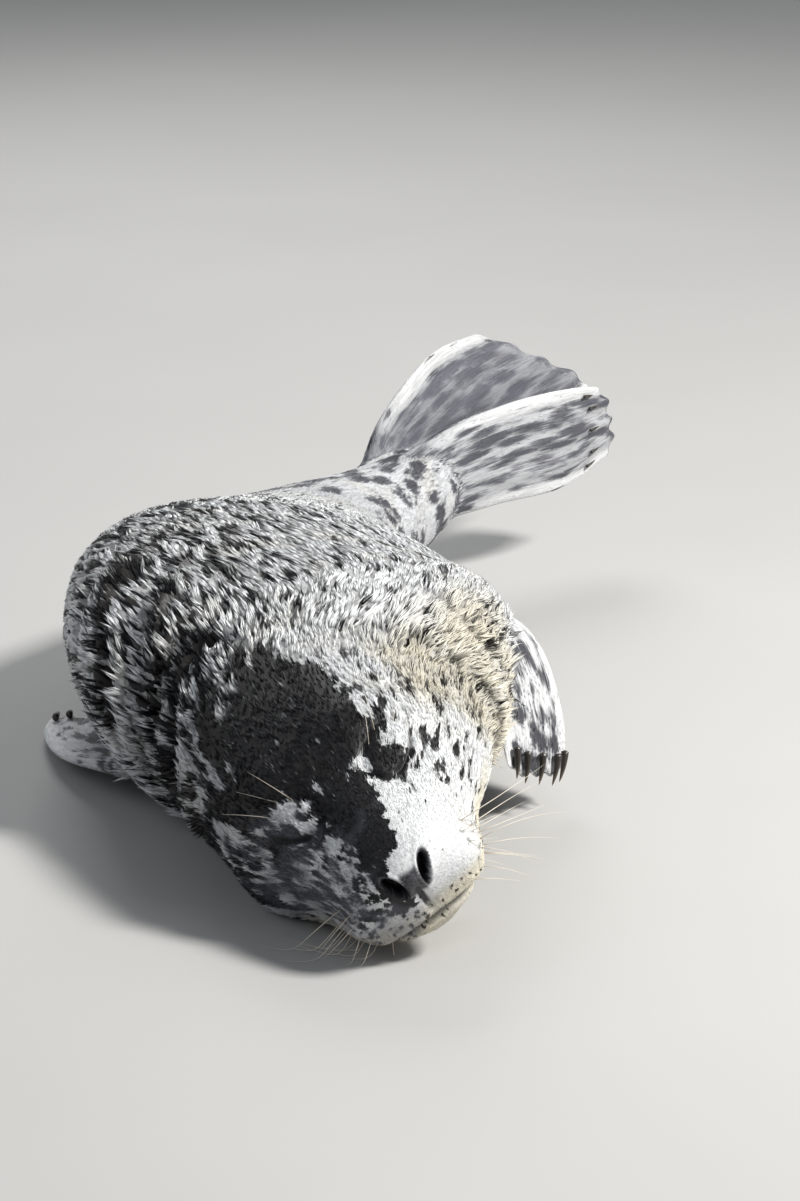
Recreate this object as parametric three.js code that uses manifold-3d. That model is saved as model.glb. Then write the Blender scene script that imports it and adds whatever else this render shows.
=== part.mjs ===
// A harbor seal pup asleep on a floor, life size, in millimetres, +Z up.
// The head points along -Y and lies tipped onto its right cheek; the hind end curls round to +X.
// The origin is on the flat under the loin. Body places are given along the spine, from the nose back.
import * as THREE from "three";
import { ParametricGeometry } from "three/addons/geometries/ParametricGeometry.js";
import { mergeVertices } from "three/addons/utils/BufferGeometryUtils.js";
import Module from "manifold-3d";

const wasm = await Module();
wasm.setup();

// ---------------------------------------------------------------- driving dimensions
const GAP = 0.3; // clearance left between neighbouring parts
const FLOOR = 0; // the level that everything rests on

const NOSE = new THREE.Vector3(77, -365, 52); // tip of the nose
const HEAD_FORWARD = new THREE.Vector3(0.306, -0.948, -0.073).normalize();
const HEAD_ROLL = 34; // degrees, left side up

// Where one body length ends and the next starts, in mm back from the nose.
const HEAD_END = 160;
const NECK_END = 238;
const CHEST_END = 345;
const LOIN_END = 490;
const RUMP_END = 715;
const TAIL_START = 688;
const TAIL_LENGTH = 74;
const TAIL_HALF_WIDTH = 6;
const TAIL_HALF_HEIGHT = 17;

// The spine behind the head: mm back from the nose, then its place.
const SPINE = [
  { back: 165, at: [30, -208.5, 64] },
  { back: 220, at: [29, -157, 70] },
  { back: 300, at: [11, -80, 74] },
  { back: 380, at: [-1, 0, 70] },
  { back: 460, at: [-4, 81, 60] },
  { back: 560, at: [14, 179, 53] },
  { back: 640, at: [56, 252, 59] },
  { back: 715, at: [101, 300, 76] },
];

// Sections across the spine. half is the half width, top and bottom are heights from the spine,
// mid is the height of the widest line, full is the superellipse exponent and roll is in degrees.
const SECTIONS = [
  { back: 0, half: 1, top: 1, mid: 0, bottom: -1, full: 2.0, roll: HEAD_ROLL },
  { back: 4, half: 16, top: 8, mid: -4, bottom: -15, full: 2.0, roll: HEAD_ROLL },
  { back: 12, half: 28, top: 14, mid: -12, bottom: -36, full: 2.1, roll: HEAD_ROLL },
  { back: 20, half: 34, top: 18, mid: -16, bottom: -43, full: 2.15, roll: HEAD_ROLL },
  { back: 30, half: 39, top: 22, mid: -17, bottom: -45, full: 2.2, roll: HEAD_ROLL },
  { back: 45, half: 44, top: 27, mid: -15, bottom: -47, full: 2.2, roll: HEAD_ROLL },
  { back: 65, half: 53, top: 38, mid: -10, bottom: -51, full: 2.2, roll: HEAD_ROLL },
  { back: 95, half: 66, top: 52, mid: -4, bottom: -55, full: 2.2, roll: HEAD_ROLL },
  { back: 130, half: 71, top: 59, mid: 0, bottom: -60, full: 2.2, roll: 33 },
  { back: 165, half: 80, top: 62, mid: 0, bottom: -63, full: 2.2, roll: 30 },
  { back: 205, half: 97, top: 68, mid: 0, bottom: -72, full: 2.2, roll: 21 },
  { back: 245, half: 110, top: 71, mid: 0, bottom: -80, full: 2.3, roll: 8 },
  { back: 300, half: 121, top: 72, mid: 0, bottom: -84, full: 2.3, roll: -4 },
  { back: 370, half: 123, top: 70, mid: 0, bottom: -78, full: 2.3, roll: -8 },
  { back: 440, half: 109, top: 63, mid: 0, bottom: -66, full: 2.3, roll: -7 },
  { back: 520, half: 82, top: 53, mid: 0, bottom: -56, full: 2.2, roll: -2 },
  { back: 590, half: 56, top: 44, mid: 0, bottom: -46, full: 2.1, roll: 3 },
  { back: 645, half: 39, top: 35, mid: 0, bottom: -35, full: 2.0, roll: 6 },
  { back: 680, half: 31, top: 31, mid: 0, bottom: -31, full: 2.0, roll: 8 },
  { back: 700, half: 23, top: 25, mid: 0, bottom: -25, full: 2.0, roll: 8 },
  { back: 711, half: 13, top: 15, mid: 0, bottom: -15, full: 2.0, roll: 8 },
  { back: 715, half: 5, top: 6, mid: 0, bottom: -6, full: 2.0, roll: 8 },
];

// Swellings and hollows of the flesh: left of the midline, back along the spine from the nose
// and up from the spine. Each is a bell of the given height and radii; paired ones are mirrored.
const SWELLINGS = [
  { name: "whisker pad", at: [26, 14, -15], radii: [14, 15, 14], height: 7, paired: true },
  { name: "upper lip", at: [34, 32, -25], radii: [12, 18, 9], height: 3, paired: true },
  { name: "philtrum", at: [0, 3, -19], radii: [4, 14, 9], height: -4 },
  { name: "chin", at: [0, 15, -42], radii: [15, 11, 10], height: 3 },
  { name: "eye hollow", at: [30, 60, 27], radii: [14, 17, 13], height: -3, paired: true },
  { name: "brow", at: [26, 86, 46], radii: [18, 14, 12], height: 4, paired: true },
  { name: "bridge", at: [0, 46, 29], radii: [12, 26, 14], height: 3 },
  { name: "cheek", at: [64, 104, -22], radii: [24, 34, 30], height: 5, paired: true },
  { name: "ruff of the throat", at: [80, 152, -38], radii: [44, 60, 46], height: 21 },
  { name: "shoulder", at: [104, 272, 30], radii: [42, 46, 44], height: 8, paired: true },
];

// A closed eye: back from the nose, angle round the head from its left, how far it stands out,
// half its length, height and depth, and the line of the lids. turn is the line's slope backwards.
const EYE = { back: 65, angle: 47, proud: 2.6, radii: [18, 13, 9], slit: [13, 0.9, 1.6], turn: 50 };
const NOSTRIL = { at: [8.4, 1.5, 0], radii: [2.5, 6, 7.4], splay: 22 };
const NOSE_PAD = { at: [0, 7, -2], radii: [15, 9.5, 12] };

// The mouth line in side view: back from the nose, and height on the head's axis.
const MOUTH_LINE = [
  [-6, -25],
  [9, -28],
  [28, -32],
  [46, -31],
  [60, -26],
];
const JAW_DEPTH = 75;
const JAW_HALF_WIDTH = 70;

// Flippers. path is the run of the blade from root to tip, spread the direction across it.
// Edges are [share of the path, distance across]. root and tip are half thicknesses, web is how
// far the webs fall short of the digits, claws is a claw's length, outer says which face is the
// outer one, and steps is the number of facets from one digit to the next.
const FLIPPERS = [
  {
    name: "hindflipper_left",
    path: [[75, 268, 77], [142, 324, 86], [217, 386, 95]],
    spread: [-0.08, -0.06, 0.995],
    leading: [[0, 20], [0.25, 29], [0.55, 31], [0.78, 28], [0.96, 23]],
    trailing: [[0, -28], [0.25, -33], [0.45, -35], [0.74, -39], [0.99, -28]],
    root: 13, tip: 1.5, web: 0.05, claws: 9, outer: 1, steps: 3,
  },
  {
    name: "hindflipper_right",
    path: [[53, 277, 73], [128, 350, 97], [206, 426, 121]],
    spread: [-0.16, -0.15, 0.975],
    leading: [[0, 18], [0.07, 38], [0.2, 55], [0.36, 66], [0.55, 63]],
    trailing: [[0, -18], [0.25, -14], [0.5, -20], [0.75, -22], [1, -17]],
    root: 12, tip: 1.5, web: 0.05, claws: 9, outer: -1, steps: 3,
  },
  {
    name: "foreflipper_left",
    path: [[62, -62, 100], [122, -90, 90], [142, -116, 54], [147, -141, 14]],
    spread: [-0.6, -0.77, 0.2],
    leading: [[0, 30], [0.3, 33], [0.7, 30], [0.95, 25]],
    trailing: [[0, -32], [0.35, -34], [0.7, -31], [0.9, -28]],
    root: 17, tip: 2, web: 0.04, claws: 17, outer: -1, steps: 2,
  },
  {
    name: "foreflipper_right",
    path: [[-62, -112, 22], [-90, -62, 12], [-104, -14, 6.5], [-110, 32, 4.5]],
    spread: [-0.97, -0.2, 0],
    leading: [[0, 26], [0.3, 31], [0.7, 30], [0.95, 25]],
    trailing: [[0, -26], [0.35, -31], [0.7, -30], [0.9, -26]],
    root: 9, tip: 2, web: 0.04, claws: 17, outer: 1, steps: 2,
  },
];
const DIGITS = 5;

// How finely the surfaces are faceted.
const BODY_FACETS = 36;
const HEAD_ROWS = 24;
const HEAD_START = 0.4;
const HEAD_CROWD = 1.5; // how much closer the head's rows lie towards the nose
const TRUNK_ROWS = 56;
const NECK_ROWS = 7;
const CHEST_ROWS = 7;
const LOIN_ROWS = 8;
const RUMP_ROWS = 12;
const TAIL_ROWS = 6;
const BLADE_ROWS = 9;
const CLAW_FACETS = 6;
const CLAW_ROWS = 3;
const CLAW_ROOT = 0.86; // share of the blade where the claws start
const OUTER_CLAW = 0.1; // how far in from the blade's edge the outermost claws lie
const CLAW_THICKNESS = 0.12; // half a claw's thickness as a share of its length
const TAIL_FACETS = 14;
const EYE_FACETS = 12;
const NOSE_FACETS = 16;
const NOSTRIL_FACETS = 10;

// ---------------------------------------------------------------- smooth curves
// Cubic Hermite interpolation through rows of numbers at the given keys, the slopes weighted
// by the neighbouring steps.
function through(keys, rows, x) {
  const last = keys.length - 1;
  const at = Math.min(Math.max(x, keys[0]), keys[last]);
  let i = 0;
  while (i < last - 1 && at >= keys[i + 1]) i += 1;
  const step = (k) => keys[k + 1] - keys[k];
  const slope = (k, c) => (rows[k + 1][c] - rows[k][c]) / step(k);
  const tangent = (k, c) => {
    if (k === 0) return slope(0, c);
    if (k === last) return slope(last - 1, c);
    return (slope(k - 1, c) * step(k) + slope(k, c) * step(k - 1)) / (step(k - 1) + step(k));
  };
  const h = step(i);
  const u = (at - keys[i]) / h;
  return rows[i].map((start, c) => {
    const rise = 3 * u * u - 2 * u * u * u;
    const out = (u - 2 * u * u + u * u * u) * h * tangent(i, c);
    const into = (u * u * u - u * u) * h * tangent(i + 1, c);
    return start + rise * (rows[i + 1][c] - start) + out + into;
  });
}

function smoothstep(from, to, x) {
  const u = Math.min(Math.max((x - from) / (to - from), 0), 1);
  return u * u * (3 - 2 * u);
}

// ---------------------------------------------------------------- the body's sweep
const STRAIGHT = [0, 60, 120].map((back) => ({
  back,
  at: NOSE.clone().addScaledVector(HEAD_FORWARD, -back).toArray(),
}));
const ROUTE = [...STRAIGHT, ...SPINE];
const ROUTE_KEYS = ROUTE.map((row) => row.back);
const ROUTE_ROWS = ROUTE.map((row) => row.at);
const SECTION_KEYS = SECTIONS.map((row) => row.back);
const SECTION_ROWS = SECTIONS.map((row) => [
  row.half, row.top, row.mid, row.bottom, row.full, row.roll,
]);

// The spine's place, and the directions to the animal's front, left and back at that point.
function frameAt(back) {
  const reach = 2;
  const centre = new THREE.Vector3(...through(ROUTE_KEYS, ROUTE_ROWS, back));
  const ahead = new THREE.Vector3(...through(ROUTE_KEYS, ROUTE_ROWS, back - reach));
  const behind = new THREE.Vector3(...through(ROUTE_KEYS, ROUTE_ROWS, back + reach));
  const forward = ahead.sub(behind).normalize();
  const level = new THREE.Vector3(0, 0, 1);
  const upright = level.addScaledVector(forward, -forward.z).normalize();
  const side = new THREE.Vector3().crossVectors(upright, forward);
  const roll = THREE.MathUtils.degToRad(through(SECTION_KEYS, SECTION_ROWS, back)[5]);
  const left = side.clone().multiplyScalar(Math.cos(roll)).addScaledVector(upright, Math.sin(roll));
  const up = upright.multiplyScalar(Math.cos(roll)).addScaledVector(side, -Math.sin(roll));
  return { centre, forward, left, up };
}

// A bell-shaped height at a point of the head, or its mirror image for paired swellings.
function bell(swelling, point) {
  const [left, back, up] = swelling.at;
  const [wide, long, high] = swelling.radii;
  const x = swelling.paired ? Math.abs(point[0]) : point[0];
  const far = ((x - left) / wide) ** 2 + ((point[1] - back) / long) ** 2 + ((point[2] - up) / high) ** 2;
  return swelling.height * Math.exp(-far);
}

function swellingAt(point) {
  return SWELLINGS.reduce((sum, swelling) => sum + bell(swelling, point), 0);
}

// A point of the body's skin: back along the spine, angle round it from the animal's left over
// its back, and how far the surface is grown outwards.
function bodyPoint(back, angle, grow, target) {
  const [half, top, mid, bottom, full] = through(SECTION_KEYS, SECTION_ROWS, back);
  const { centre, left, up } = frameAt(back);
  const c = Math.cos(angle);
  const s = Math.sin(angle);
  const reach = s > 0 ? top - mid : mid - bottom;
  let across = half * Math.sign(c) * Math.abs(c) ** (2 / full);
  let height = mid + reach * Math.sign(s) * Math.abs(s) ** (2 / full);
  const outward = swellingAt([across, back, height]) + grow;
  const length = Math.hypot(across, height - mid) || 1;
  across += (outward * across) / length;
  height += (outward * (height - mid)) / length;
  target.copy(centre).addScaledVector(left, across).addScaledVector(up, height);
  target.z = Math.max(target.z, FLOOR - grow);
  return target;
}

// ---------------------------------------------------------------- solids
// A closed surface from a function of two parameters, as a manifold solid.
function closedSolid(surface, facets, rows) {
  const geometry = new ParametricGeometry(surface, facets, rows);
  geometry.deleteAttribute("normal");
  geometry.deleteAttribute("uv");
  return solidOf(geometry);
}

// A closed geometry as a manifold solid: shared vertices are merged, faces with no area dropped.
function solidOf(geometry) {
  const merged = mergeVertices(geometry, 1e-3);
  const faces = [];
  for (let i = 0; i < merged.index.count; i += 3) {
    const [a, b, c] = [0, 1, 2].map((k) => merged.index.getX(i + k));
    if (a !== b && b !== c && c !== a) faces.push(a, b, c);
  }
  const made = (triangles) => new wasm.Manifold(new wasm.Mesh({
    numProp: 3,
    vertProperties: merged.attributes.position.array,
    triVerts: new Uint32Array(triangles),
  }));
  const solid = made(faces);
  return solid.volume() > 0 ? solid : made(faces.reverse());
}

// The largest body of a solid, so that a cut leaves no crumbs.
function largest(solid) {
  const bodies = solid.decompose();
  return bodies.sort((a, b) => b.volume() - a.volume())[0];
}

// A length of the body between two places on the spine, with flat ends.
function bodyLength(from, to, rows, grow = 0, crowd = 1) {
  const surface = (u, v, target) => {
    const row = Math.round(v * (rows + 2));
    const share = Math.min(Math.max((row - 1) / rows, 0), 1);
    const back = from + (to - from) * share ** crowd;
    if (row === 0 || row === rows + 2) return target.copy(frameAt(back).centre);
    return bodyPoint(back, 2 * Math.PI * u, grow, target);
  };
  return closedSolid(surface, BODY_FACETS, rows + 2);
}

// The matrix that carries head coordinates (left, back, up) into place.
function headMatrix() {
  const { left, up, forward } = frameAt(HEAD_END / 3);
  return new THREE.Matrix4().makeBasis(left, forward.negate(), up).setPosition(NOSE);
}

// An ellipsoid at a place of the head, tipped sideways by an angle in degrees.
function headEllipsoid(at, radii, tip, facets) {
  const geometry = new THREE.SphereGeometry(1, facets, facets / 2);
  geometry.deleteAttribute("normal");
  geometry.deleteAttribute("uv");
  geometry.scale(...radii);
  geometry.rotateY(THREE.MathUtils.degToRad(tip));
  geometry.translate(...at);
  geometry.applyMatrix4(headMatrix());
  return solidOf(geometry);
}

// The block below the mouth line, which parts the lower jaw from the head.
function jawBlock(grow) {
  const shape = new THREE.Shape();
  MOUTH_LINE.forEach(([back, up], i) => {
    if (i === 0) shape.moveTo(back, up + grow);
    else shape.lineTo(back + grow, up + grow);
  });
  const corner = MOUTH_LINE[MOUTH_LINE.length - 1];
  shape.lineTo(corner[0] + 6 + grow, corner[1] - JAW_DEPTH);
  shape.lineTo(MOUTH_LINE[0][0], corner[1] - JAW_DEPTH);
  shape.closePath();
  const options = { depth: 2 * JAW_HALF_WIDTH, bevelEnabled: false };
  const geometry = new THREE.ExtrudeGeometry(shape, options);
  geometry.deleteAttribute("normal");
  geometry.deleteAttribute("uv");
  const axes = new THREE.Matrix4().makeBasis(
    new THREE.Vector3(0, 1, 0), new THREE.Vector3(0, 0, 1), new THREE.Vector3(1, 0, 0),
  );
  geometry.applyMatrix4(axes.setPosition(-JAW_HALF_WIDTH, 0, 0));
  geometry.applyMatrix4(headMatrix());
  return solidOf(geometry);
}

// A frame on the head's skin: its place, the way out of it, the way back and the way across.
function skinFrame(back, angle) {
  const step = 0.5;
  const at = bodyPoint(back, angle, 0, new THREE.Vector3());
  const behind = bodyPoint(back + step, angle, 0, new THREE.Vector3()).sub(at).normalize();
  const round = bodyPoint(back, angle + step / 50, 0, new THREE.Vector3()).sub(at).normalize();
  const out = new THREE.Vector3().crossVectors(behind, round).normalize();
  return { at, out, behind, round };
}

// An ellipsoid on the skin at an eye: its length runs outwards and back, its depth into the head.
function atEye(side, radii, proud) {
  const angle = THREE.MathUtils.degToRad(side > 0 ? EYE.angle : 180 - EYE.angle);
  const { at, out, behind, round } = skinFrame(EYE.back, angle);
  if (out.dot(at.clone().sub(frameAt(EYE.back).centre)) < 0) out.negate();
  const turn = THREE.MathUtils.degToRad(EYE.turn);
  const along = round.multiplyScalar(-side * Math.cos(turn)).addScaledVector(behind, Math.sin(turn));
  along.addScaledVector(out, -along.dot(out)).normalize();
  const across = new THREE.Vector3().crossVectors(out, along);
  const geometry = new THREE.SphereGeometry(1, EYE_FACETS, EYE_FACETS / 2);
  geometry.deleteAttribute("normal");
  geometry.deleteAttribute("uv");
  geometry.scale(...radii);
  const place = at.addScaledVector(out, proud - radii[2]);
  geometry.applyMatrix4(new THREE.Matrix4().makeBasis(along, across, out).setPosition(place));
  return solidOf(geometry);
}

function lidDome(side, grow) {
  return atEye(side, EYE.radii.map((radius) => radius + grow), EYE.proud + grow);
}

// A closed eye: the domed lids with the line where they meet.
function closedEye(side) {
  return largest(lidDome(side, 0).subtract(atEye(side, EYE.slit, EYE.proud + EYE.slit[2] * 0.5)));
}

function nostril(side) {
  const [left, back, up] = NOSTRIL.at;
  return headEllipsoid([side * left, back, up], NOSTRIL.radii, NOSTRIL.splay * side, NOSTRIL_FACETS);
}

function nosePad(grow) {
  return headEllipsoid(NOSE_PAD.at, NOSE_PAD.radii.map((radius) => radius + grow), 0, NOSE_FACETS);
}

function nose() {
  return largest(nosePad(0).subtract(nostril(1)).subtract(nostril(-1)));
}

function wholeHead() {
  return bodyLength(HEAD_START, HEAD_END, HEAD_ROWS, 0, HEAD_CROWD);
}

function head() {
  const cuts = [jawBlock(GAP), nosePad(GAP), lidDome(1, GAP), lidDome(-1, GAP)];
  return largest(cuts.reduce((solid, cut) => solid.subtract(cut), wholeHead()));
}

function lowerJaw() {
  return largest(wholeHead().intersect(jawBlock(0)).subtract(nosePad(GAP)));
}

// ---------------------------------------------------------------- flippers
const CURVES = new Map(FLIPPERS.map(({ name, path }) => [
  name, new THREE.CatmullRomCurve3(path.map((at) => new THREE.Vector3(...at))),
]));

// The frame of a flipper part way along its path: place, run, spread and face directions.
function bladeFrame(flipper, share) {
  const curve = CURVES.get(flipper.name);
  const at = curve.getPoint(Math.min(share, 1));
  const run = curve.getTangent(Math.min(share, 1));
  const spread = new THREE.Vector3(...flipper.spread);
  spread.addScaledVector(run, -spread.dot(run)).normalize();
  const face = new THREE.Vector3().crossVectors(run, spread);
  return { at, run, spread, face };
}

// How far a digit stands out from the webs, 1 on a digit and 0 between two.
function digitShare(across) {
  return 0.5 + 0.5 * Math.cos(2 * Math.PI * (DIGITS - 1) * across);
}

// A point of the blade: share along it from root to tip, and share across from trailing (0) to
// leading edge (1), on the face given by side (-1 to 1).
function bladePoint(flipper, along, across, side, target) {
  const edge = (rows) => through(rows.map((row, i) => i / (rows.length - 1)), rows, along);
  const [shareA, farA] = edge(flipper.trailing);
  const [shareB, farB] = edge(flipper.leading);
  const digit = digitShare(across);
  const web = 1 - flipper.web * (1 - digit) * along ** 3;
  const share = (shareA + (shareB - shareA) * across) * web;
  const far = farA + (farB - farA) * across;
  const { at, spread, face } = bladeFrame(flipper, share);
  const ridge = 0.8 + 0.35 * digit * smoothstep(0.3, 0.8, along);
  const thick = (flipper.root * (1 - along) ** 1.3 + flipper.tip) * ridge;
  target.copy(at).addScaledVector(spread, far).addScaledVector(face, side * thick);
  target.z = Math.max(target.z, FLOOR);
  return target;
}

// A whole flipper blade, rounded across and closing to an edge at the tip.
function blade(flipper) {
  const surface = (u, v, target) => {
    const row = Math.round(v * (BLADE_ROWS + 2));
    const last = row === BLADE_ROWS + 2;
    const along = Math.min(Math.max((row - 1) / BLADE_ROWS, 0), 1);
    if (row === 0) return bladePoint(flipper, 0, 0.5, 0, target);
    const across = Math.abs(1 - 2 * u);
    const round = Math.sqrt(Math.max(1 - (2 * across - 1) ** 2, 0)) ** 0.8;
    const side = last ? 0 : round * Math.sign(0.5 - u);
    return bladePoint(flipper, last ? 1 : along * 0.985, across, side, target);
  };
  return closedSolid(surface, 2 * flipper.steps * (DIGITS - 1), BLADE_ROWS + 2);
}

// A claw: a curved cone that lies on the outer face of its digit, along the digit's last stretch.
function claw(flipper, digit) {
  const across = THREE.MathUtils.clamp(digit / (DIGITS - 1), OUTER_CLAW, 1 - OUTER_CLAW);
  const base = CLAW_THICKNESS * flipper.claws;
  const start = bladePoint(flipper, CLAW_ROOT, across, flipper.outer, new THREE.Vector3());
  const tip = bladePoint(flipper, 1, across, 0, new THREE.Vector3());
  const lift = bladeFrame(flipper, CLAW_ROOT).face.multiplyScalar(flipper.outer);
  const run = tip.sub(start).normalize();
  lift.addScaledVector(run, -lift.dot(run)).normalize();
  const wide = new THREE.Vector3().crossVectors(run, lift);
  start.addScaledVector(lift, base * 1.15 + GAP);
  const surface = (u, v, target) => {
    const row = Math.round(v * (CLAW_ROWS + 1));
    const share = Math.max(row - 1, 0) / CLAW_ROWS;
    const radius = row === 0 ? 0 : base * (1 - share) ** 0.7;
    const angle = 2 * Math.PI * u;
    const arch = base * 1.2 * share * (1 - share);
    target.copy(start).addScaledVector(run, share * flipper.claws);
    target.addScaledVector(lift, arch + radius * 1.15 * Math.sin(angle));
    return target.addScaledVector(wide, radius * Math.cos(angle));
  };
  return closedSolid(surface, CLAW_FACETS, CLAW_ROWS + 1);
}

const clawName = (flipper, digit) => `claw_${flipper.name}_${digit + 1}`;
const digitNumbers = [...Array(DIGITS).keys()];

// ---------------------------------------------------------------- tail
// The short flat tail between the hind flippers.
function tail(grow = 0) {
  const { centre, forward, left, up } = frameAt(TAIL_START);
  const surface = (u, v, target) => {
    const row = Math.round(v * (TAIL_ROWS + 1));
    const share = Math.max(row - 1, 0) / TAIL_ROWS;
    const angle = 2 * Math.PI * u;
    const taper = row === 0 || share === 1 ? 0 : Math.sqrt(1 - share ** 3);
    const wide = taper && TAIL_HALF_WIDTH * taper + grow;
    const high = taper && TAIL_HALF_HEIGHT * taper + grow;
    target.copy(centre).addScaledVector(forward, -share * TAIL_LENGTH);
    target.addScaledVector(left, wide * Math.cos(angle));
    return target.addScaledVector(up, high * Math.sin(angle));
  };
  return closedSolid(surface, TAIL_FACETS, TAIL_ROWS + 1);
}

// ---------------------------------------------------------------- the group
const coat = { roughness: 0.85, metalness: 0 };
const MATERIALS = {
  dark: () => new THREE.MeshStandardMaterial({ color: 0x4a4c52, ...coat }),
  pale: () => new THREE.MeshStandardMaterial({ color: 0xb9b6ae, ...coat }),
  cream: () => new THREE.MeshStandardMaterial({ color: 0xcfc4a8, ...coat }),
  flipper: () => new THREE.MeshStandardMaterial({ color: 0x8d9098, roughness: 0.6, metalness: 0 }),
  bare: () => new THREE.MeshStandardMaterial({ color: 0x23262b, roughness: 0.45, metalness: 0 }),
  lid: () => new THREE.MeshStandardMaterial({ color: 0x35363a, ...coat }),
  claw: () => new THREE.MeshStandardMaterial({ color: 0x2a2420, roughness: 0.35, metalness: 0 }),
};

const seal = new THREE.Group();
seal.name = "harbor_seal_pup";

function add(name, solid, material) {
  const mesh = solid.getMesh();
  const geometry = new THREE.BufferGeometry();
  const places = new THREE.BufferAttribute(new Float32Array(mesh.vertProperties), 3);
  geometry.setAttribute("position", places);
  geometry.setIndex(new THREE.BufferAttribute(new Uint32Array(mesh.triVerts), 1));
  geometry.computeVertexNormals();
  const part = new THREE.Mesh(geometry, MATERIALS[material]());
  part.name = name;
  seal.add(part);
}

add("head", head(), "dark");
add("lower_jaw", lowerJaw(), "cream");
add("nose", nose(), "bare");
add("eye_left", closedEye(1), "lid");
add("eye_right", closedEye(-1), "lid");

const trunk = bodyLength(HEAD_END + GAP, RUMP_END, TRUNK_ROWS, 2 * GAP);
add("neck", bodyLength(HEAD_END + GAP, NECK_END, NECK_ROWS), "cream");
add("chest", bodyLength(NECK_END + GAP, CHEST_END, CHEST_ROWS), "pale");
add("loin", bodyLength(CHEST_END + GAP, LOIN_END, LOIN_ROWS), "pale");
add("rump", bodyLength(LOIN_END + GAP, RUMP_END, RUMP_ROWS), "pale");
add("tail", largest(tail().subtract(trunk)), "pale");

for (const flipper of FLIPPERS) {
  add(flipper.name, largest(blade(flipper).subtract(trunk).subtract(tail(GAP))), "flipper");
  for (const digit of digitNumbers) add(clawName(flipper, digit), claw(flipper, digit), "claw");
}

export default seal;
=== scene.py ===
"""A harbor seal pup asleep on a pale floor, life size.

One skin covers the whole animal, with the lids, folds, nostrils and mouth line in it. The coat
over it is solid strands in locks, and whiskers and claws are pieces of their own. Sizes in the
tables are in millimetres; meshes are in metres, +Z up, the head towards -Y.
"""

from __future__ import annotations

import sys

import logging
import math
from dataclasses import dataclass, field
from enum import Enum

import bpy
import numpy as np
from bpy.types import Material, Mesh, Node, NodeSocket, NodeTree, Object
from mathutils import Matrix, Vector


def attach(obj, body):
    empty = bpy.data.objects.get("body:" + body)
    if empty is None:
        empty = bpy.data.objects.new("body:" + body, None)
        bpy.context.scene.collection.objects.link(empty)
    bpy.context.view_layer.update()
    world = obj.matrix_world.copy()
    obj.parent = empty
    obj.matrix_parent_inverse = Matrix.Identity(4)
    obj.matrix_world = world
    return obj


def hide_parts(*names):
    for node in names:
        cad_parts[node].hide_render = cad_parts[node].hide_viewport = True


MM = 0.001
SEED = 20240517
FLOOR_CLEARANCE = 0.8  # how far the skin stays above the floor, in mm
UPWARDS = np.array([0.0, 0.0, 1.0])
log = logging.getLogger("seal")
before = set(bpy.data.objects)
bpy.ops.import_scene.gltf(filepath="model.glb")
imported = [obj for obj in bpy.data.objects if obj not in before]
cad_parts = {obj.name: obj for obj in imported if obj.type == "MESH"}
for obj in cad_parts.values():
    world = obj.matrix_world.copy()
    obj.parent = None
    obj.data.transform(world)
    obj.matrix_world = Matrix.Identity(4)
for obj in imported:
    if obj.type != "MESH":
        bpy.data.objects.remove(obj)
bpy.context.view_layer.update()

Array = np.ndarray
Table = tuple[tuple[float, ...], ...]
Place = tuple[float, float, float]


# ---------------------------------------------------------------- arithmetic
def through(keys: Array, rows: Array, at: Array) -> Array:
    """A smooth curve through rows of numbers.

    Cubic Hermite interpolation, where a key's slope is the mean of the slopes on its two sides,
    each weighted by the length of the other side.

    Args:
        keys: increasing positions, one for each row.
        rows: the rows of numbers.
        at: positions to read, held within the first and last key.

    Returns:
        One row for each position.
    """
    x = np.clip(np.asarray(at, float), keys[0], keys[-1])
    step = np.diff(keys)[:, None]
    slope = np.diff(rows, axis=0) / step
    middle = (slope[:-1] * step[1:] + slope[1:] * step[:-1]) / (step[:-1] + step[1:])
    tangent = np.concatenate([slope[:1], middle, slope[-1:]])
    i = np.clip(np.searchsorted(keys, x, side="right") - 1, 0, len(keys) - 2)
    h = step[i]
    u = ((x - keys[i]) / h[..., 0])[..., None]
    rise = u * u * (3 - 2 * u) * (rows[i + 1] - rows[i])
    lean = u * (1 - u) ** 2 * h * tangent[i] - u * u * (1 - u) * h * tangent[i + 1]
    return rows[i] + rise + lean


def read(table: Table | Array, at: Array) -> Array:
    """The smooth curve through a table's rows; the first column holds their positions."""
    rows = np.array(table, float)
    return through(rows[:, 0], rows[:, 1:], at)


def smooth(low: float, high: float, x: Array) -> Array:
    """A rise from 0 at low to 1 at high: 3u^2 - 2u^3 of the share u, held from 0 to 1."""
    u = np.clip((x - low) / (high - low), 0.0, 1.0)
    return u * u * (3 - 2 * u)


def bell(x: Array, wide: float) -> Array:
    """A bell of height 1: e to the minus (x / wide) squared."""
    return np.exp(-((x / wide) ** 2))


def around(angle: Array) -> Array:
    """An angle round the section in degrees, from -90 (underneath) over the back to 270."""
    return (np.degrees(angle) + 90) % 360 - 90


def unit(v: Array) -> Array:
    """Each vector divided by its length."""
    return v / np.maximum(np.linalg.norm(v, axis=-1, keepdims=True), 1e-12)


def dot(a: Array, b: Array) -> Array:
    """The dot product along the last axis, kept as a column."""
    return np.sum(a * b, axis=-1, keepdims=True)


def parts(straight: Array) -> tuple[Array, Array, Array]:
    """How far left, back and up the straightened places are."""
    return straight[..., 0], straight[..., 1], straight[..., 2]


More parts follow.
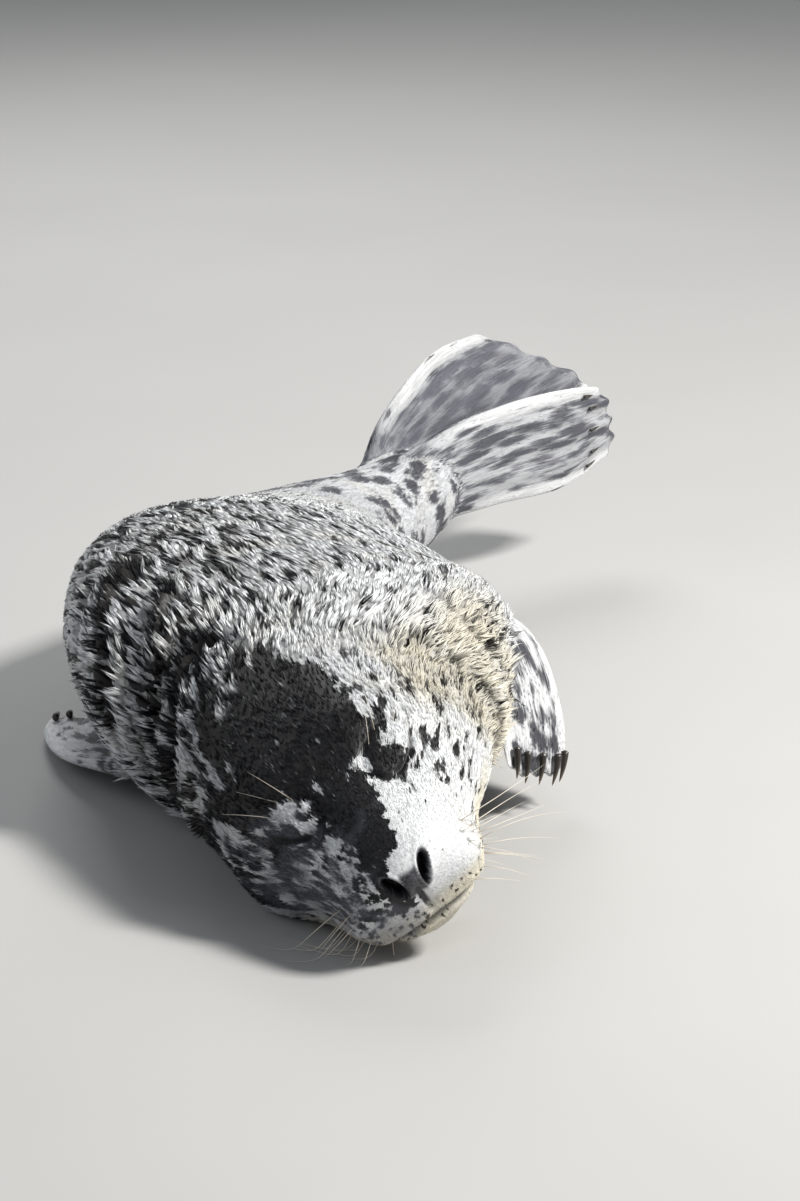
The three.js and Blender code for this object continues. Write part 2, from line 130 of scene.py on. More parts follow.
def ripple(points: Array, wave: float, seed: int) -> Array:
    """A smooth random field, from about -1 to 1.

    The sum of twelve sines, each along a random direction with a wavelength from 0.6 to 1.8 of
    the given one, divided by 2.5.

    Args:
        points: places, in mm.
        wave: the middle wavelength, in mm.
        seed: which field.

    Returns:
        One number for each place.
    """
    sines = 12
    random = np.random.default_rng(seed)
    ways = unit(random.normal(size=(sines, 3)))
    ways = ways * (2 * math.pi / (wave * random.uniform(0.6, 1.8, (sines, 1))))
    return np.sum(np.sin(points @ ways.T + random.uniform(0, 2 * math.pi, sines)), axis=-1) / 2.5


# ---------------------------------------------------------------- the body's form
@dataclass(frozen=True)
class Swelling:
    """A bell-shaped rise of the flesh, at (left, back, up) in the straightened body."""

    at: Place
    radii: Place
    height: float
    paired: bool = True

    def rise(self, straight: Array) -> Array:
        """The height here: e to the minus (distance / radii) squared, mirrored if paired."""
        place = straight.copy()
        if self.paired:
            place[..., 0] = np.abs(place[..., 0])
        far = (place - np.array(self.at)) / np.array(self.radii)
        return self.height * np.exp(-np.sum(far * far, axis=-1))


@dataclass(frozen=True)
class BodyForm:
    """The body as sections swept along the spine, from the nose to the end of the rump.

    A place on it is told by how far back it is from the nose and by the angle round the section,
    from the animal's left over its back. Its straightened place is (left, back, up).
    """

    nose: Place = (77, -365, 52)
    forward: Place = (0.306, -0.948, -0.073)
    end: float = 715
    # back, and the place of the spine's middle
    spine: Table = (
        (165, 30, -208.5, 64), (220, 29, -157, 70), (300, 11, -80, 74), (380, -1, 0, 70),
        (460, -4, 81, 60), (560, 14, 179, 53), (640, 56, 252, 59), (715, 101, 300, 76),
    )
    # back, half width, top, height of the widest line, bottom, fullness, roll in degrees
    sections: Table = (
        (0, 1, 1, 0, -1, 2.0, 34), (4, 16, 8, -4, -15, 2.0, 34), (12, 28, 14, -12, -36, 2.1, 34),
        (20, 34, 18, -16, -43, 2.15, 34), (30, 39, 22, -17, -45, 2.2, 34),
        (45, 44, 27, -15, -47, 2.2, 34), (65, 53, 38, -10, -51, 2.2, 34),
        (95, 66, 52, -4, -55, 2.2, 34), (130, 71, 59, 0, -60, 2.2, 33), (165, 80, 62, 0, -63, 2.2, 30),
        (205, 97, 68, 0, -72, 2.2, 21), (245, 110, 71, 0, -80, 2.3, 8), (300, 121, 72, 0, -84, 2.3, -4),
        (370, 123, 70, 0, -78, 2.3, -8), (440, 109, 63, 0, -66, 2.3, -7), (520, 82, 53, 0, -56, 2.2, -2),
        (590, 56, 44, 0, -46, 2.1, 3), (645, 39, 35, 0, -35, 2.0, 6), (680, 31, 31, 0, -31, 2.0, 8),
        (700, 23, 25, 0, -25, 2.0, 8), (711, 13, 15, 0, -15, 2.0, 8), (715, 5, 6, 0, -6, 2.0, 8),
    )
    swellings: tuple[Swelling, ...] = (
        Swelling((26, 14, -15), (14, 15, 14), 7),
        Swelling((34, 32, -25), (12, 18, 9), 3),
        Swelling((0, 3, -19), (4, 14, 9), -4, False),
        Swelling((0, 15, -42), (15, 11, 10), 3, False),
        Swelling((30, 60, 27), (14, 17, 13), -3),
        Swelling((26, 86, 46), (18, 14, 12), 4),
        Swelling((0, 46, 29), (12, 26, 14), 3, False),
        Swelling((64, 104, -22), (24, 34, 30), 5),
        Swelling((80, 152, -38), (44, 60, 46), 21, False),
        Swelling((104, 272, 30), (42, 46, 44), 8),
    )

    def route(self) -> Array:
        """The spine's rows of back and place: straight through the head, then the spine."""
        ahead = unit(np.array(self.forward, float))
        head = [(back, *(np.array(self.nose) - ahead * back)) for back in (0.0, 60.0, 120.0)]
        return np.array([*head, *self.spine], float)

    def frame(self, back: Array) -> tuple[Array, Array, Array, Array]:
        """The spine's place and the ways forward, left and up at each distance back.

        Forward is the spine's own direction; left and up are level and upright, turned by the
        section's roll.

        Args:
            back: distances from the nose, in mm.

        Returns:
            Arrays of centre, forward, left and up.
        """
        route = self.route()
        centre = read(route, back)
        forward = unit(read(route, back - 2) - read(route, back + 2))
        upright = unit(UPWARDS - forward * forward[..., 2:3])
        side = np.cross(upright, forward)
        roll = np.radians(read(self.sections, back)[..., 5:6])
        left = side * np.cos(roll) + upright * np.sin(roll)
        return centre, forward, left, upright * np.cos(roll) - side * np.sin(roll)

    def surface(self, back: Array, angle: Array, inset: Array) -> tuple[Array, Array]:
        """Places on the body, inside its outline by the inset.

        Each section is a superellipse, wider than high, with its swellings added along the ray
        from its middle; nothing goes below the floor.

        Args:
            back: distances from the nose, in mm.
            angle: angles round the section.
            inset: how far inside the outline, in mm.

        Returns:
            The places and their straightened places.
        """
        row = read(self.sections, back)
        half, top, mid, bottom, full = (row[..., k] for k in range(5))
        c, s = np.cos(angle), np.sin(angle)
        reach = np.where(s > 0, top - mid, mid - bottom)
        across = half * np.sign(c) * np.abs(c) ** (2 / full)
        height = mid + reach * np.sign(s) * np.abs(s) ** (2 / full)
        straight = np.stack([across, back, height], -1)
        out = sum(swelling.rise(straight) for swelling in self.swellings) - inset
        length = np.maximum(np.hypot(across, height - mid), 1e-6)
        across = across + out * across / length
        height = height + out * (height - mid) / length
        centre, _, left, up = self.frame(back)
        place = centre + left * across[..., None] + up * height[..., None]
        place[..., 2] = np.maximum(place[..., 2], FLOOR_CLEARANCE)
        return place, np.stack([across, back, height], -1)


# ---------------------------------------------------------------- folds, lids, nostrils, mouth
@dataclass(frozen=True)
class Whiskers:
    """Stiff tapering whiskers on both sides of the muzzle and over the eyes."""

    # Rows of follicles on each side: the angle in degrees and the distances back.
    rows: tuple[tuple[float, tuple[float, ...]], ...] = (
        (14, (16, 27)), (4, (13, 23.5, 29)), (-7, (15.5, 26, 32)), (-18, (13, 23, 29)), (-30, (21, 33)),
        (-42, (19.5,)),
    )
    # Over each eye: angle and distance back.
    brows: Table = ((52, 72), (60, 76), (66, 70))
    sides: int = 5
    rings: int = 16
    longest: float = 66
    radius: float = 0.28
    tip_radius: float = 0.02
    depth: float = 1.5  # how far under the outline it starts

    def roots(self) -> tuple[Array, Array, Array]:
        """Distances back and angles of all the follicles, and 1 on the muzzle or 0 over an eye."""
        muzzle = [(back, math.radians(angle)) for angle, backs in self.rows for back in backs]
        brow = [(back, math.radians(angle)) for angle, back in self.brows]
        one = np.array(muzzle + brow)
        kind = np.array([1.0] * len(muzzle) + [0.0] * len(brow))
        other = np.stack([one[:, 0], math.pi - one[:, 1]], -1)
        both = np.concatenate([one, other])
        return both[:, 0], both[:, 1], np.concatenate([kind, kind])

    def follicles(self) -> Array:
        """Straightened places of all the follicles."""
        back, angle, _ = self.roots()
        return BodyForm().surface(back, angle, np.zeros_like(back))[1]

    def dots(self, straight: Array, wide: float) -> Array:
        """1 on each follicle, falling off as a bell of this width."""
        near = sum(bell(np.linalg.norm(straight - at, axis=-1), wide) for at in self.follicles())
        return np.minimum(near, 1)

    def build(self, form: BodyForm) -> Object:
        """Makes the whiskers as one piece.

        Each starts under the skin and leaves outwards and, on the muzzle's back rows, backwards;
        then it bends down and back by the square of its share. Those further back are longer and
        thicker. Its radius falls as (1 - share) to the power 0.8. Below 6 mm its height is eased
        off, so that none goes through the floor.
        """
        random = np.random.default_rng(SEED + 5)
        back, angle, muzzle = self.roots()
        root, _ = form.surface(back, angle, np.full_like(back, self.depth))
        centre, forward, _, _ = form.frame(back)
        normal = unit(root - centre)
        near = smooth(8, 32, back)
        count = len(back)
        share_long = np.where(muzzle > 0, 0.28 + 0.72 * near, 0.42)
        long = self.longest * share_long * random.uniform(0.75, 1.1, count)
        way = normal * 0.75 - forward * (0.10 + 0.35 * near)[:, None] + random.normal(0, 0.09, root.shape)
        way = unit(way + forward * np.where(muzzle > 0, 0.22, 0.0)[:, None])
        backwards = random.uniform(0.1, 0.4, count)[:, None]
        downwards = random.uniform(0.10, 0.42, count)[:, None]
        bend = -forward * backwards - UPWARDS * downwards
        share = np.linspace(0, 1, self.rings)
        line = root[:, None] + way[:, None] * (share[:, None] * long[:, None, None])
        line = line + bend[:, None] * (share[:, None] ** 2 * long[:, None, None] * 0.75)
        height = line[..., 2]
        line[..., 2] = np.where(height < 6, 0.5 + 5.5 * np.exp((height - 6) / 5.5), height)
        run = unit(np.gradient(line, axis=1))
        across = unit(np.cross(run, np.array([0.1, 0.2, 1.0])))
        over = np.cross(run, across)
        turn = 2 * math.pi * np.arange(self.sides) / self.sides
        thick = self.radius * np.where(muzzle > 0, 0.75 + 0.25 * near, 0.7)
        radius = thick[:, None] * (1 - share) ** 0.8 + self.tip_radius
        ring = across[:, :, None] * np.cos(turn)[:, None] + over[:, :, None] * np.sin(turn)[:, None]
        place = line[:, :, None] + ring * radius[..., None, None]
        each = self.rings * self.sides
        tube = ring_faces(self.rings, self.sides)
        first = np.arange(self.sides)
        ends = np.stack([first[::-1], first + each - self.sides])
        place = place.reshape(-1, 3)
        tubes, caps = (np.concatenate([f + k * each for k in range(count)]) for f in (tube, ends))
        piece = mesh_object("whiskers", place, turned_out(place, [tubes, caps]))
        give(piece.data, "along", np.tile(np.repeat(share, self.sides), count))
        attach(piece, "root")
        return piece


@dataclass(frozen=True)
class Eye:
    """A closed eye: the ball under the lids, the line where they meet and the creases round it.

    Distances are in mm in the straightened head; along runs outwards and back, over runs across
    the lids towards the brow. Both are given for the left eye and mirrored for the right.
    """

    at: Place = (36, 63.5, 24)
    along: Place = (0.59, 0.79, 0.14)
    over: Place = (-0.56, 0.28, 0.78)
    half: float = 14
    sag: float = 2.6  # how far the middle of the lid line hangs below its ends
    brow_radius: float = 19

    def local(self, straight: Array, side: int) -> tuple[Array, Array, Array]:
        """Distances along the lids, across them and away from the eye's middle."""
        mirror = np.array([side, 1, 1])
        away = straight - np.array(self.at) * mirror
        along = unit(np.array(self.along) * mirror)
        over = np.array(self.over) * mirror
        over = unit(over - along * float(over @ along))
        x, y = away @ along, away @ over
        return x, y + self.sag * (1 - (x / self.half) ** 2), np.linalg.norm(away, axis=-1)

    def under(self, x: Array, y: Array, wide: float, high: float = 1) -> Array:
        """A ridge of this width and height along the crease below the eye."""
        return high * bell(y + 7.0 - 0.02 * x * x, wide) * smooth(19, 9, np.abs(x))

    def brow(self, x: Array, y: Array, wide: float, high: float = 1) -> Array:
        """A ridge of this width and height along the arc over the eye."""
        away = np.hypot(x + 1, y - 3) - self.brow_radius
        return high * bell(away, wide) * smooth(-6, 4, y - 0.3 * x)

    def relief(self, straight: Array, side: int) -> Array:
        """How far the lids stand out, in mm.

        The ball's bulge and a pouch under it, less the line of the lids and four creases: under
        the eye, over it and at its two corners. All of it fades out 24 to 36 mm from the middle.
        """
        x, y, far = self.local(straight, side)
        near = smooth(36, 24, far)
        ball = 5.2 * bell(x, 16) * bell(y - 6, 11)
        line = 2.6 * bell(y, 1.3) * smooth(self.half + 2, self.half - 4, np.abs(x))
        pouch = 1.2 * bell(y + 3.4, 2.2) * smooth(15, 7, np.abs(x))
        corner = 1.5 * bell(y - 0.35 * (x - 12), 1.2) * smooth(11, 14, x) * smooth(25, 18, x)
        inner = 1.2 * bell(y + 0.25 * (x + 12), 1.1) * smooth(-10, -13, x) * smooth(-22, -17, x)
        under, brow = self.under(x, y, 2.0, 1.5), self.brow(x, y, 2.0, 2.0)
        return near * (ball + pouch - line - under - brow - corner - inner)

    def lid_line(self, straight: Array, side: int) -> Array:
        """1 on the line where the lids meet, falling off as a bell 1.25 mm wide; the skin is darkened
        there as painted shade and the coat leaves it bare.
        """
        x, y, far = self.local(straight, side)
        return bell(y, 1.25) * smooth(self.half + 3, self.half - 3, np.abs(x)) * (far < 30)


@dataclass(frozen=True)
class Nostrils:
    """Two open slots that lean apart at the top, and the bare skin round them."""

    at: Place = (8.0, 0.0, -1.6)
    half_wide: float = 2.8
    half_high: float = 8.4
    splay: float = 23
    depth: float = 10

    def inside(self, straight: Array, side: int) -> Array:
        """The distance from a slot's middle line, 1 on its rim: wider above than below."""
        lean = math.radians(self.splay)
        x = straight[..., 0] * side - self.at[0]
        z = straight[..., 2] - self.at[2]
        u = x * math.cos(lean) - z * math.sin(lean)
        v = x * math.sin(lean) + z * math.cos(lean)
        wide = self.half_wide * (1 + 0.35 * np.clip(v / self.half_high, -1, 1))
        bowed = u - 0.9 * (v / self.half_high) ** 2
        return np.hypot(bowed / wide, v / self.half_high) + 10 * smooth(16, 22, straight[..., 1])

    def nearest(self, straight: Array) -> Array:
        """The distance from the nearer slot, 1 on its rim."""
        return np.minimum(self.inside(straight, 1), self.inside(straight, -1))

    def sink(self, straight: Array) -> Array:
        """How far the slots go into the head: their depth times a steep-sided bowl."""
        return self.depth * smooth(1.12, 0.45, self.nearest(straight))

    def rim(self, straight: Array) -> Array:
        """A low rounded rim just outside each slot, in mm."""
        return 0.5 * bell(self.nearest(straight) - 1.35, 0.3) * (straight[..., 1] < 20)

    def bare(self, straight: Array) -> Array:
        """1 on the bare skin: round the slots, between them and down to the lip."""
        left, back, up = parts(straight)
        rim = smooth(1.30, 1.1, self.nearest(straight))
        between = smooth(6.0, 4.2, np.abs(left)) * smooth(5.5, 2.5, up) * smooth(-13, -10, up)
        groove = smooth(2.2, 1.0, np.abs(left)) * smooth(0, -6, up) * smooth(-25, -22, up)
        return np.maximum.reduce([rim, between, groove]) * smooth(15, 11, back)


@dataclass(frozen=True)
class Mouth:
    """The closed mouth: back from the nose and height of the line, in the straightened head."""

    line: Table = ((-6, -27), (9, -32), (28, -37), (46, -36), (60, -30))

    def away(self, straight: Array) -> Array:
        """Signed height above the mouth line, in mm."""
        return straight[..., 2] - read(self.line, straight[..., 1])[..., 0]

    def relief(self, straight: Array) -> Array:
        """A narrow groove with full lips beside it, fading out at the corner."""
        y = self.away(straight)
        shown = smooth(64, 52, straight[..., 1])
        return shown * (1.4 * bell(y - 3.6, 2.6) + 1.0 * bell(y + 3.2, 2.4) - 3.4 * bell(y, 1.3))

    def shade(self, straight: Array) -> Array:
        """1 in the groove."""
        return bell(self.away(straight), 1.5) * smooth(62, 54, straight[..., 1])


@dataclass(frozen=True)
class Crease:
    """A fold across the body: (angle in degrees, back in mm) along it, its width and depth."""

    run: Table
    wide: float
    deep: float

    def behind(self, back: Array, degrees: Array) -> Array:
        """How far a place is behind the fold's line, in mm."""
        return back - read(self.run, degrees)[..., 0]

    def shown(self, degrees: Array, fade: float) -> Array:
        """1 along the fold, fading to 0 at both ends over so many degrees."""
        first, last = self.run[0][0], self.run[-1][0]
        return smooth(first, first + fade, degrees) * smooth(last, last - fade, degrees)

    def relief(self, back: Array, degrees: Array) -> Array:
        """The fold's groove with a soft roll of skin on each side, fading at both ends."""
        x = self.behind(back, degrees)
        away, broad = 2.6 * self.wide, 1.7 * self.wide
        roll = 0.4 * self.deep * (bell(x - away, broad) + bell(x + away, broad))
        return self.shown(degrees, 9) * (roll - self.deep * bell(x, self.wide))

    def shade(self, back: Array, degrees: Array) -> Array:
        """Painted shade, positive in the groove, and painted highlight, negative on the roll in front of
        it.
        """
        x = self.behind(back, degrees)
        groove = bell(x - self.wide, 1.3 * self.wide)
        return self.shown(degrees, 12) * (groove - bell(x + 1.7 * self.wide, 0.8 * self.wide))


# Two folds on the right flank, then the one that runs round behind the crown.
NECK_FOLDS = (
    Crease(((130, 292), (148, 277), (153, 262), (164, 247), (188, 234)), 5.0, 9.0),
    Crease(((116, 264), (131, 246), (137, 219), (149, 194), (168, 184)), 4.5, 8.0),
    Crease(
        ((101, 201), (107, 203), (114, 207), (122, 203), (131, 184), (144, 170), (163, 165), (184, 163)),
        4.0, 9.0,
    ),
)


@dataclass(frozen=True)
class Relief:
    """Everything that the skin adds to the body's form."""

    eye: Eye = Eye()
    nostrils: Nostrils = Nostrils()
    mouth: Mouth = Mouth()
    creases: tuple[Crease, ...] = (
        *NECK_FOLDS,
        Crease(((-22, 226), (-10, 216), (10, 202), (34, 212), (44, 216)), 2.6, 2.4),
        Crease(((150, 312), (170, 292), (190, 282)), 4.0, 3.0),
    )

    def out(self, straight: Array, angle: Array) -> Array:
        """How far the skin stands out from the form along its normal, in mm."""
        total = self.mouth.relief(straight) + self.nostrils.rim(straight)
        for side in (1, -1):
            total = total + self.eye.relief(straight, side)
        left, back, up = parts(straight)
        for crease in self.creases:
            total = total + crease.relief(back, around(angle))
        groove = bell(left, 1.2) * smooth(-5, -9, up) * smooth(-26, -22, up) * smooth(16, 12, back)
        return total - 1.3 * groove - 0.35 * Whiskers().dots(straight, 1.0)

    def forward(self, straight: Array) -> Array:
        """How far the skin moves forward: the nose's tip less the nostrils, in mm."""
        left, back, up = parts(straight)
        tip = 2.6 * bell(left, 14) * bell(up + 2, 10) * smooth(14, 2, back)
        return tip - self.nostrils.sink(straight)


# ---------------------------------------------------------------- flippers and tail
@dataclass(frozen=True)
class Blade:
    """A flipper as a blade with five digits, swept along a path from root to tip.

    Edges are rows of (share of the path, distance across) for the leading and trailing side.
    """

    name: str
    path: tuple[Place, ...]
    spread: Place
    leading: Table
    trailing: Table
    root: float  # half the thickness at the root, beyond that of the tip
    tip: float
    web: float  # how deeply the edge is cut between the digits
    claws: float  # length of the claws
    outer: int  # the face that the claws are on, 1 or -1
    digits: int = 5
    inset: float = 0.7

    def curve(self, share: Array) -> Array:
        """The path at each share: a Catmull-Rom curve whose steps are timed by the square root
        of the distance between its points."""
        points = np.array(self.path, float)
        points = np.concatenate([[2 * points[0] - points[1]], points, [2 * points[-1] - points[-2]]])
        t = np.clip(share, 0, 1) * (len(self.path) - 1)
        i = np.minimum(t.astype(int), len(self.path) - 2)
        u = (t - i)[..., None]
        p0, p1, p2, p3 = (points[i + k] for k in range(4))
        pairs = ((p0, p1), (p1, p2), (p2, p3))
        d0, d1, d2 = (np.sqrt(np.linalg.norm(b - a, axis=-1))[..., None] for a, b in pairs)
        out = ((p1 - p0) / d0 - (p2 - p0) / (d0 + d1) + (p2 - p1) / d1) * d1
        into = ((p2 - p1) / d1 - (p3 - p1) / (d1 + d2) + (p3 - p2) / d2) * d1
        bend = 3 * (p2 - p1) - 2 * out - into
        return p1 + u * out + u * u * bend + u**3 * (2 * (p1 - p2) + out + into)

    def frame(self, share: Array) -> tuple[Array, Array, Array, Array]:
        """The path's place and the ways along, across and out of the blade's face."""
        share = np.clip(share, 0, 1)
        run = unit(self.curve(share + 1e-4) - self.curve(share - 1e-4))
        spread = np.array(self.spread, float) + np.zeros_like(run)
        spread = unit(spread - run * dot(spread, run))
        return self.curve(share), run, spread, np.cross(run, spread)

    def digit(self, across: Array) -> Array:
        """1 on a digit and 0 between two: a raised cosine with a full turn for each gap."""
        return 0.5 + 0.5 * np.cos(2 * math.pi * (self.digits - 1) * across)

    def point(self, along: Array, across: Array, side: Array) -> Array:
        """Places on the blade.

        The share along the path and the distance across come from the two edges, mixed by the
        share across; the thickness falls to the tip as (1 - along) to the power 1.3 and is
        thicker on the digits.

        Args:
            along: share from root to tip.
            across: share from the trailing to the leading edge.
            side: from -1 on one face to 1 on the other.

        Returns:
            The places, in mm.
        """
        edges = [np.array(rows, float) for rows in (self.trailing, self.leading)]
        trail, lead = (through(np.linspace(0, 1, len(rows)), rows, along) for rows in edges)
        mixed = trail + (lead - trail) * across[..., None]
        digit = self.digit(across)
        corner = 0.055 * along**4 * np.abs(2 * across - 1) ** 5
        share = mixed[..., 0] * (1 - 0.45 * self.web * (1 - digit) * along**3 - corner)
        centre, _, spread, face = self.frame(share)
        ridge = 0.8 + 0.35 * digit * smooth(0.3, 0.8, along)
        thick = (self.root * (1 - along) ** 1.3 + self.tip) * ridge - self.inset
        thick = np.maximum(thick, 0.45) * side
        place = centre + spread * mixed[..., 1:2] * 0.985 + face * thick[..., None]
        place[..., 2] = np.maximum(place[..., 2], FLOOR_CLEARANCE)
        return place


BLADES = (
    Blade("hindflipper_left", ((75, 268, 77), (142, 324, 86), (217, 386, 95)), (-0.08, -0.06, 0.995),
          ((0, 20), (0.25, 29), (0.55, 31), (0.78, 28), (0.96, 23)),
          ((0, -28), (0.25, -33), (0.45, -35), (0.74, -39), (0.99, -28)),
          root=13, tip=1.5, web=0.05, claws=9, outer=1),
    Blade("hindflipper_right", ((53, 277, 73), (128, 350, 97), (206, 426, 121)), (-0.16, -0.15, 0.975),
          ((0, 18), (0.07, 38), (0.2, 55), (0.36, 66), (0.55, 63)),
          ((0, -18), (0.25, -14), (0.5, -20), (0.75, -22), (1, -17)),
          root=12, tip=1.5, web=0.05, claws=9, outer=-1),
    Blade("foreflipper_left", ((62, -62, 100), (122, -90, 90), (142, -116, 54), (147, -141, 14)),
          (-0.6, -0.77, 0.2), ((0, 30), (0.3, 33), (0.7, 30), (0.95, 25)),
          ((0, -32), (0.35, -34), (0.7, -31), (0.9, -28)),
          root=17, tip=2, web=0.04, claws=17, outer=-1),
    Blade("foreflipper_right", ((-62, -112, 22), (-90, -62, 12), (-104, -14, 6.5), (-110, 32, 4.5)),
          (-0.97, -0.2, 0), ((0, 26), (0.3, 31), (0.7, 30), (0.95, 25)),
          ((0, -26), (0.35, -31), (0.7, -30), (0.9, -26)),
          root=9, tip=2, web=0.04, claws=17, outer=1),
)


@dataclass(frozen=True)
class Tail:
    """The short flat tail between the hind flippers."""

    start: float = 688
    length: float = 73
    half_wide: float = 5.4
    half_high: float = 16.4


# ---------------------------------------------------------------- markings as fields
@dataclass(frozen=True)
class Patch:
    """A patch of darker or paler coat: an ellipsoid in the straightened body, with a ragged edge."""

    at: Place
    radii: Place
    tone: float
    soft: float = 0.25
    ragged: float = 0.16

    def cover(self, straight: Array, edge: Array) -> Array:
        """1 inside and 0 outside, moved in and out by the ragged edge's field."""
        far = np.linalg.norm((straight - np.array(self.at)) / np.array(self.radii), axis=-1)
        return smooth(1 + self.soft, 1 - self.soft, far + self.ragged * edge)


@dataclass(frozen=True)
class MarkingsAndShade:
    """How dark and how cream the coat is at each place, with painted shade and painted highlights in the
    tone: 0 white, 1 black; 0 silver, 1 cream.
    """

    # The edge between the dark right half of the head, partly dark coat and partly painted shade on the
    # side away from the key light, and the pale left: back, then left.
    dark_and_shade_edge: Table = (
        (0, -7), (6.5, -5), (13, 5), (27, 10.5), (37, 13), (50, 15), (61, 17), (68, 26), (78, 28.5),
        (90, 28.5), (107, 27), (139, 24), (155, 15), (173, 1), (197, -24), (215, -40),
    )
    head: tuple[Patch, ...] = (
        Patch((-30, 172, 58), (21, 24, 26), 0.58, 0.6),
        Patch((-52, 140, 36), (22, 36, 18), 0.60, 0.5),
        Patch((-62, 92, 10), (18, 44, 19), 0.50, 0.6, 0.3),
        Patch((-38, 73, 29), (15, 14, 8), 0.46, 0.7, 0.3),
        # Painted highlights: the two small pale spots over the right eye stand for light on the upper lid.
        Patch((-27, 71, 36), (6, 5, 6), 0.32, 0.6, 0.3),
        Patch((-20, 61, 32), (5, 4, 5), 0.36, 0.6, 0.3),
        Patch((-34, 46, 8), (12, 10, 9), 0.54, 0.6, 0.3),
        Patch((-25, 20, -8), (16, 15, 15), 0.58, 0.5, 0.3),
        Patch((-50, 62, -8), (16, 26, 14), 0.50, 0.6, 0.3),
        Patch((15.5, 61, 34), (4.6, 5.4, 6), 0.0, 0.3),
        Patch((25, 60, 28), (6.5, 12, 8), 0.90, 0.3, 0.3),
        Patch((31, 74, 33), (5, 9, 7), 0.72, 0.4, 0.3),
        Patch((35, 61, 20), (5, 10, 7), 0.72, 0.4, 0.3),
        Patch((44, 53, 8), (4, 6, 5), 0.60, 0.4, 0.3),
        Patch((29, 43, 17), (3.5, 8, 4), 0.58, 0.4, 0.3),
        Patch((52, 71, 15), (4, 9, 6), 0.62, 0.4, 0.3),
        Patch((60, 76, -2), (4, 8, 6), 0.60, 0.4, 0.3),
        Patch((41, 84, 36), (5, 10, 6), 0.66, 0.4, 0.3),
        Patch((56, 98, 26), (4, 9, 7), 0.56, 0.4, 0.3),
        Patch((47, 104, 38), (4, 8, 6), 0.52, 0.4, 0.3),
    )
    # The right cheek, its lids and the muzzle's right side, partly grey coat and partly painted shade on
    # the side away from the key light; a patch's tone is how grey it is.
    even: tuple[Patch, ...] = (
        Patch((-46, 50, -2), (34, 48, 26), 0.62, 0.5, 0.25),
        Patch((-40, 70, 29), (17, 15, 8), 0.45, 0.4, 0.2),
        Patch((-22, 16, -22), (17, 17, 16), 0.6, 0.4, 0.2),
    )

    def of_head(self, straight: Array, edge: Array) -> Array:
        """The head's tone: the dark right side, partly dark coat and partly painted shade, and the pale
        left side of the edge between them, the patches over them and painted shade in the creases
        and along the lid line round the eyes, which is fainter on the left, the lit side."""
        left, back, up = parts(straight)
        away = left - read(self.dark_and_shade_edge, back)[..., 0] + 1.6 * edge + 1.2 * ripple(straight, 7, 5)
        # Painted shade: the right half of the head is dark partly from its coat and partly as shade away
        # from the key light.
        dark_and_shaded_side = smooth(2.2, -2.2, away) * smooth(-22, -12, up)
        bridge = smooth(-17, -12, left) * smooth(66, 56, back)
        crown = smooth(54, 66, back)
        right = 0.53 + 0.43 * np.maximum(bridge, crown) + 0.12 * smooth(0.2, 0.9, ripple(straight, 10, 33))
        jaw = smooth(-14, -26, up)
        pale = 0.12 + 0.25 * smooth(44, 66, back) - 0.06 * smooth(100, 130, back)
        head = pale + (right - pale) * dark_and_shaded_side
        head = head + (0.30 - head) * jaw
        for patch in self.head:
            head = head + (patch.tone - head) * patch.cover(straight, edge)
        eye = Eye()
        for side, share in ((1, 0.35), (-1, 1.0)):
            x, y, far = eye.local(straight, side)
            lid_slit_shade = bell(y, 2.2) * smooth(18, 12, np.abs(x))
            shown = 0.45 * smooth(36, 24, far) * share
            # Painted shade in the creases over and under each eye and along the lid line, fainter on the
            # lit left side.
            dark = np.maximum.reduce([0.8 * eye.brow(x, y, 2.2), 0.8 * eye.under(x, y, 2.4), lid_slit_shade])
            head = head + shown * dark
        return head

    def of_trunk(self, back: Array, degrees: Array) -> Array:
        """The trunk's tone: darker along the back, painted shade on the right flank away from the key
        light, paler underneath, and darker again over the hips."""
        spine = bell(degrees - 128, 46)
        trunk = 0.31 + 0.21 * spine + 0.10 * smooth(30, -30, degrees) - 0.10 * smooth(200, 250, degrees)
        # Painted shade on the right flank, the side away from the key light.
        trunk = trunk + 0.10 * smooth(150, 185, degrees) * smooth(240, 200, degrees)
        return trunk - 0.06 * smooth(420, 520, back) + 0.17 * smooth(520, 580, back)

    def tone(self, straight: Array, angle: Array) -> Array:
        """The body's tone: the head's up to the fold behind the crown, less a painted highlight along
        that fold where it catches the light, and then the trunk's. Grooves get painted shade and the
        rolls in front of them a painted highlight."""
        edge, degrees, back = ripple(straight, 16, 3), around(angle), straight[..., 1]
        behind = NECK_FOLDS[2].behind(back, degrees)
        # Painted highlight: a pale rim where the fold behind the crown catches the light.
        rim = bell(behind + 8, 4.5) * smooth(94, 106, degrees) * smooth(192, 178, degrees)
        head = self.of_head(straight, edge) - 0.42 * rim
        mix = smooth(-15, 16, behind + 7 * edge)
        # Painted shade in the neck folds' grooves and a painted highlight on the rolls in front.
        folds = sum(crease.shade(back, degrees) for crease in NECK_FOLDS)
        return head + (self.of_trunk(back, degrees) - head) * mix + 0.34 * folds

    def grey(self, straight: Array) -> Array:
        """How far the coat is an even grey: in part on the right cheek, lids and muzzle, and on the
        hips; both are partly the coat's own grey and partly painted shade."""
        edge = ripple(straight, 12, 14)
        # Partly painted shade: the right cheek's grey stands partly for shade away from the key light, the
        # hips' for less light on wet coat.
        even = [patch.tone * patch.cover(straight, edge) for patch in self.even]
        hips = 0.42 * smooth(500, 560, straight[..., 1])
        return np.maximum.reduce([*even, hips])

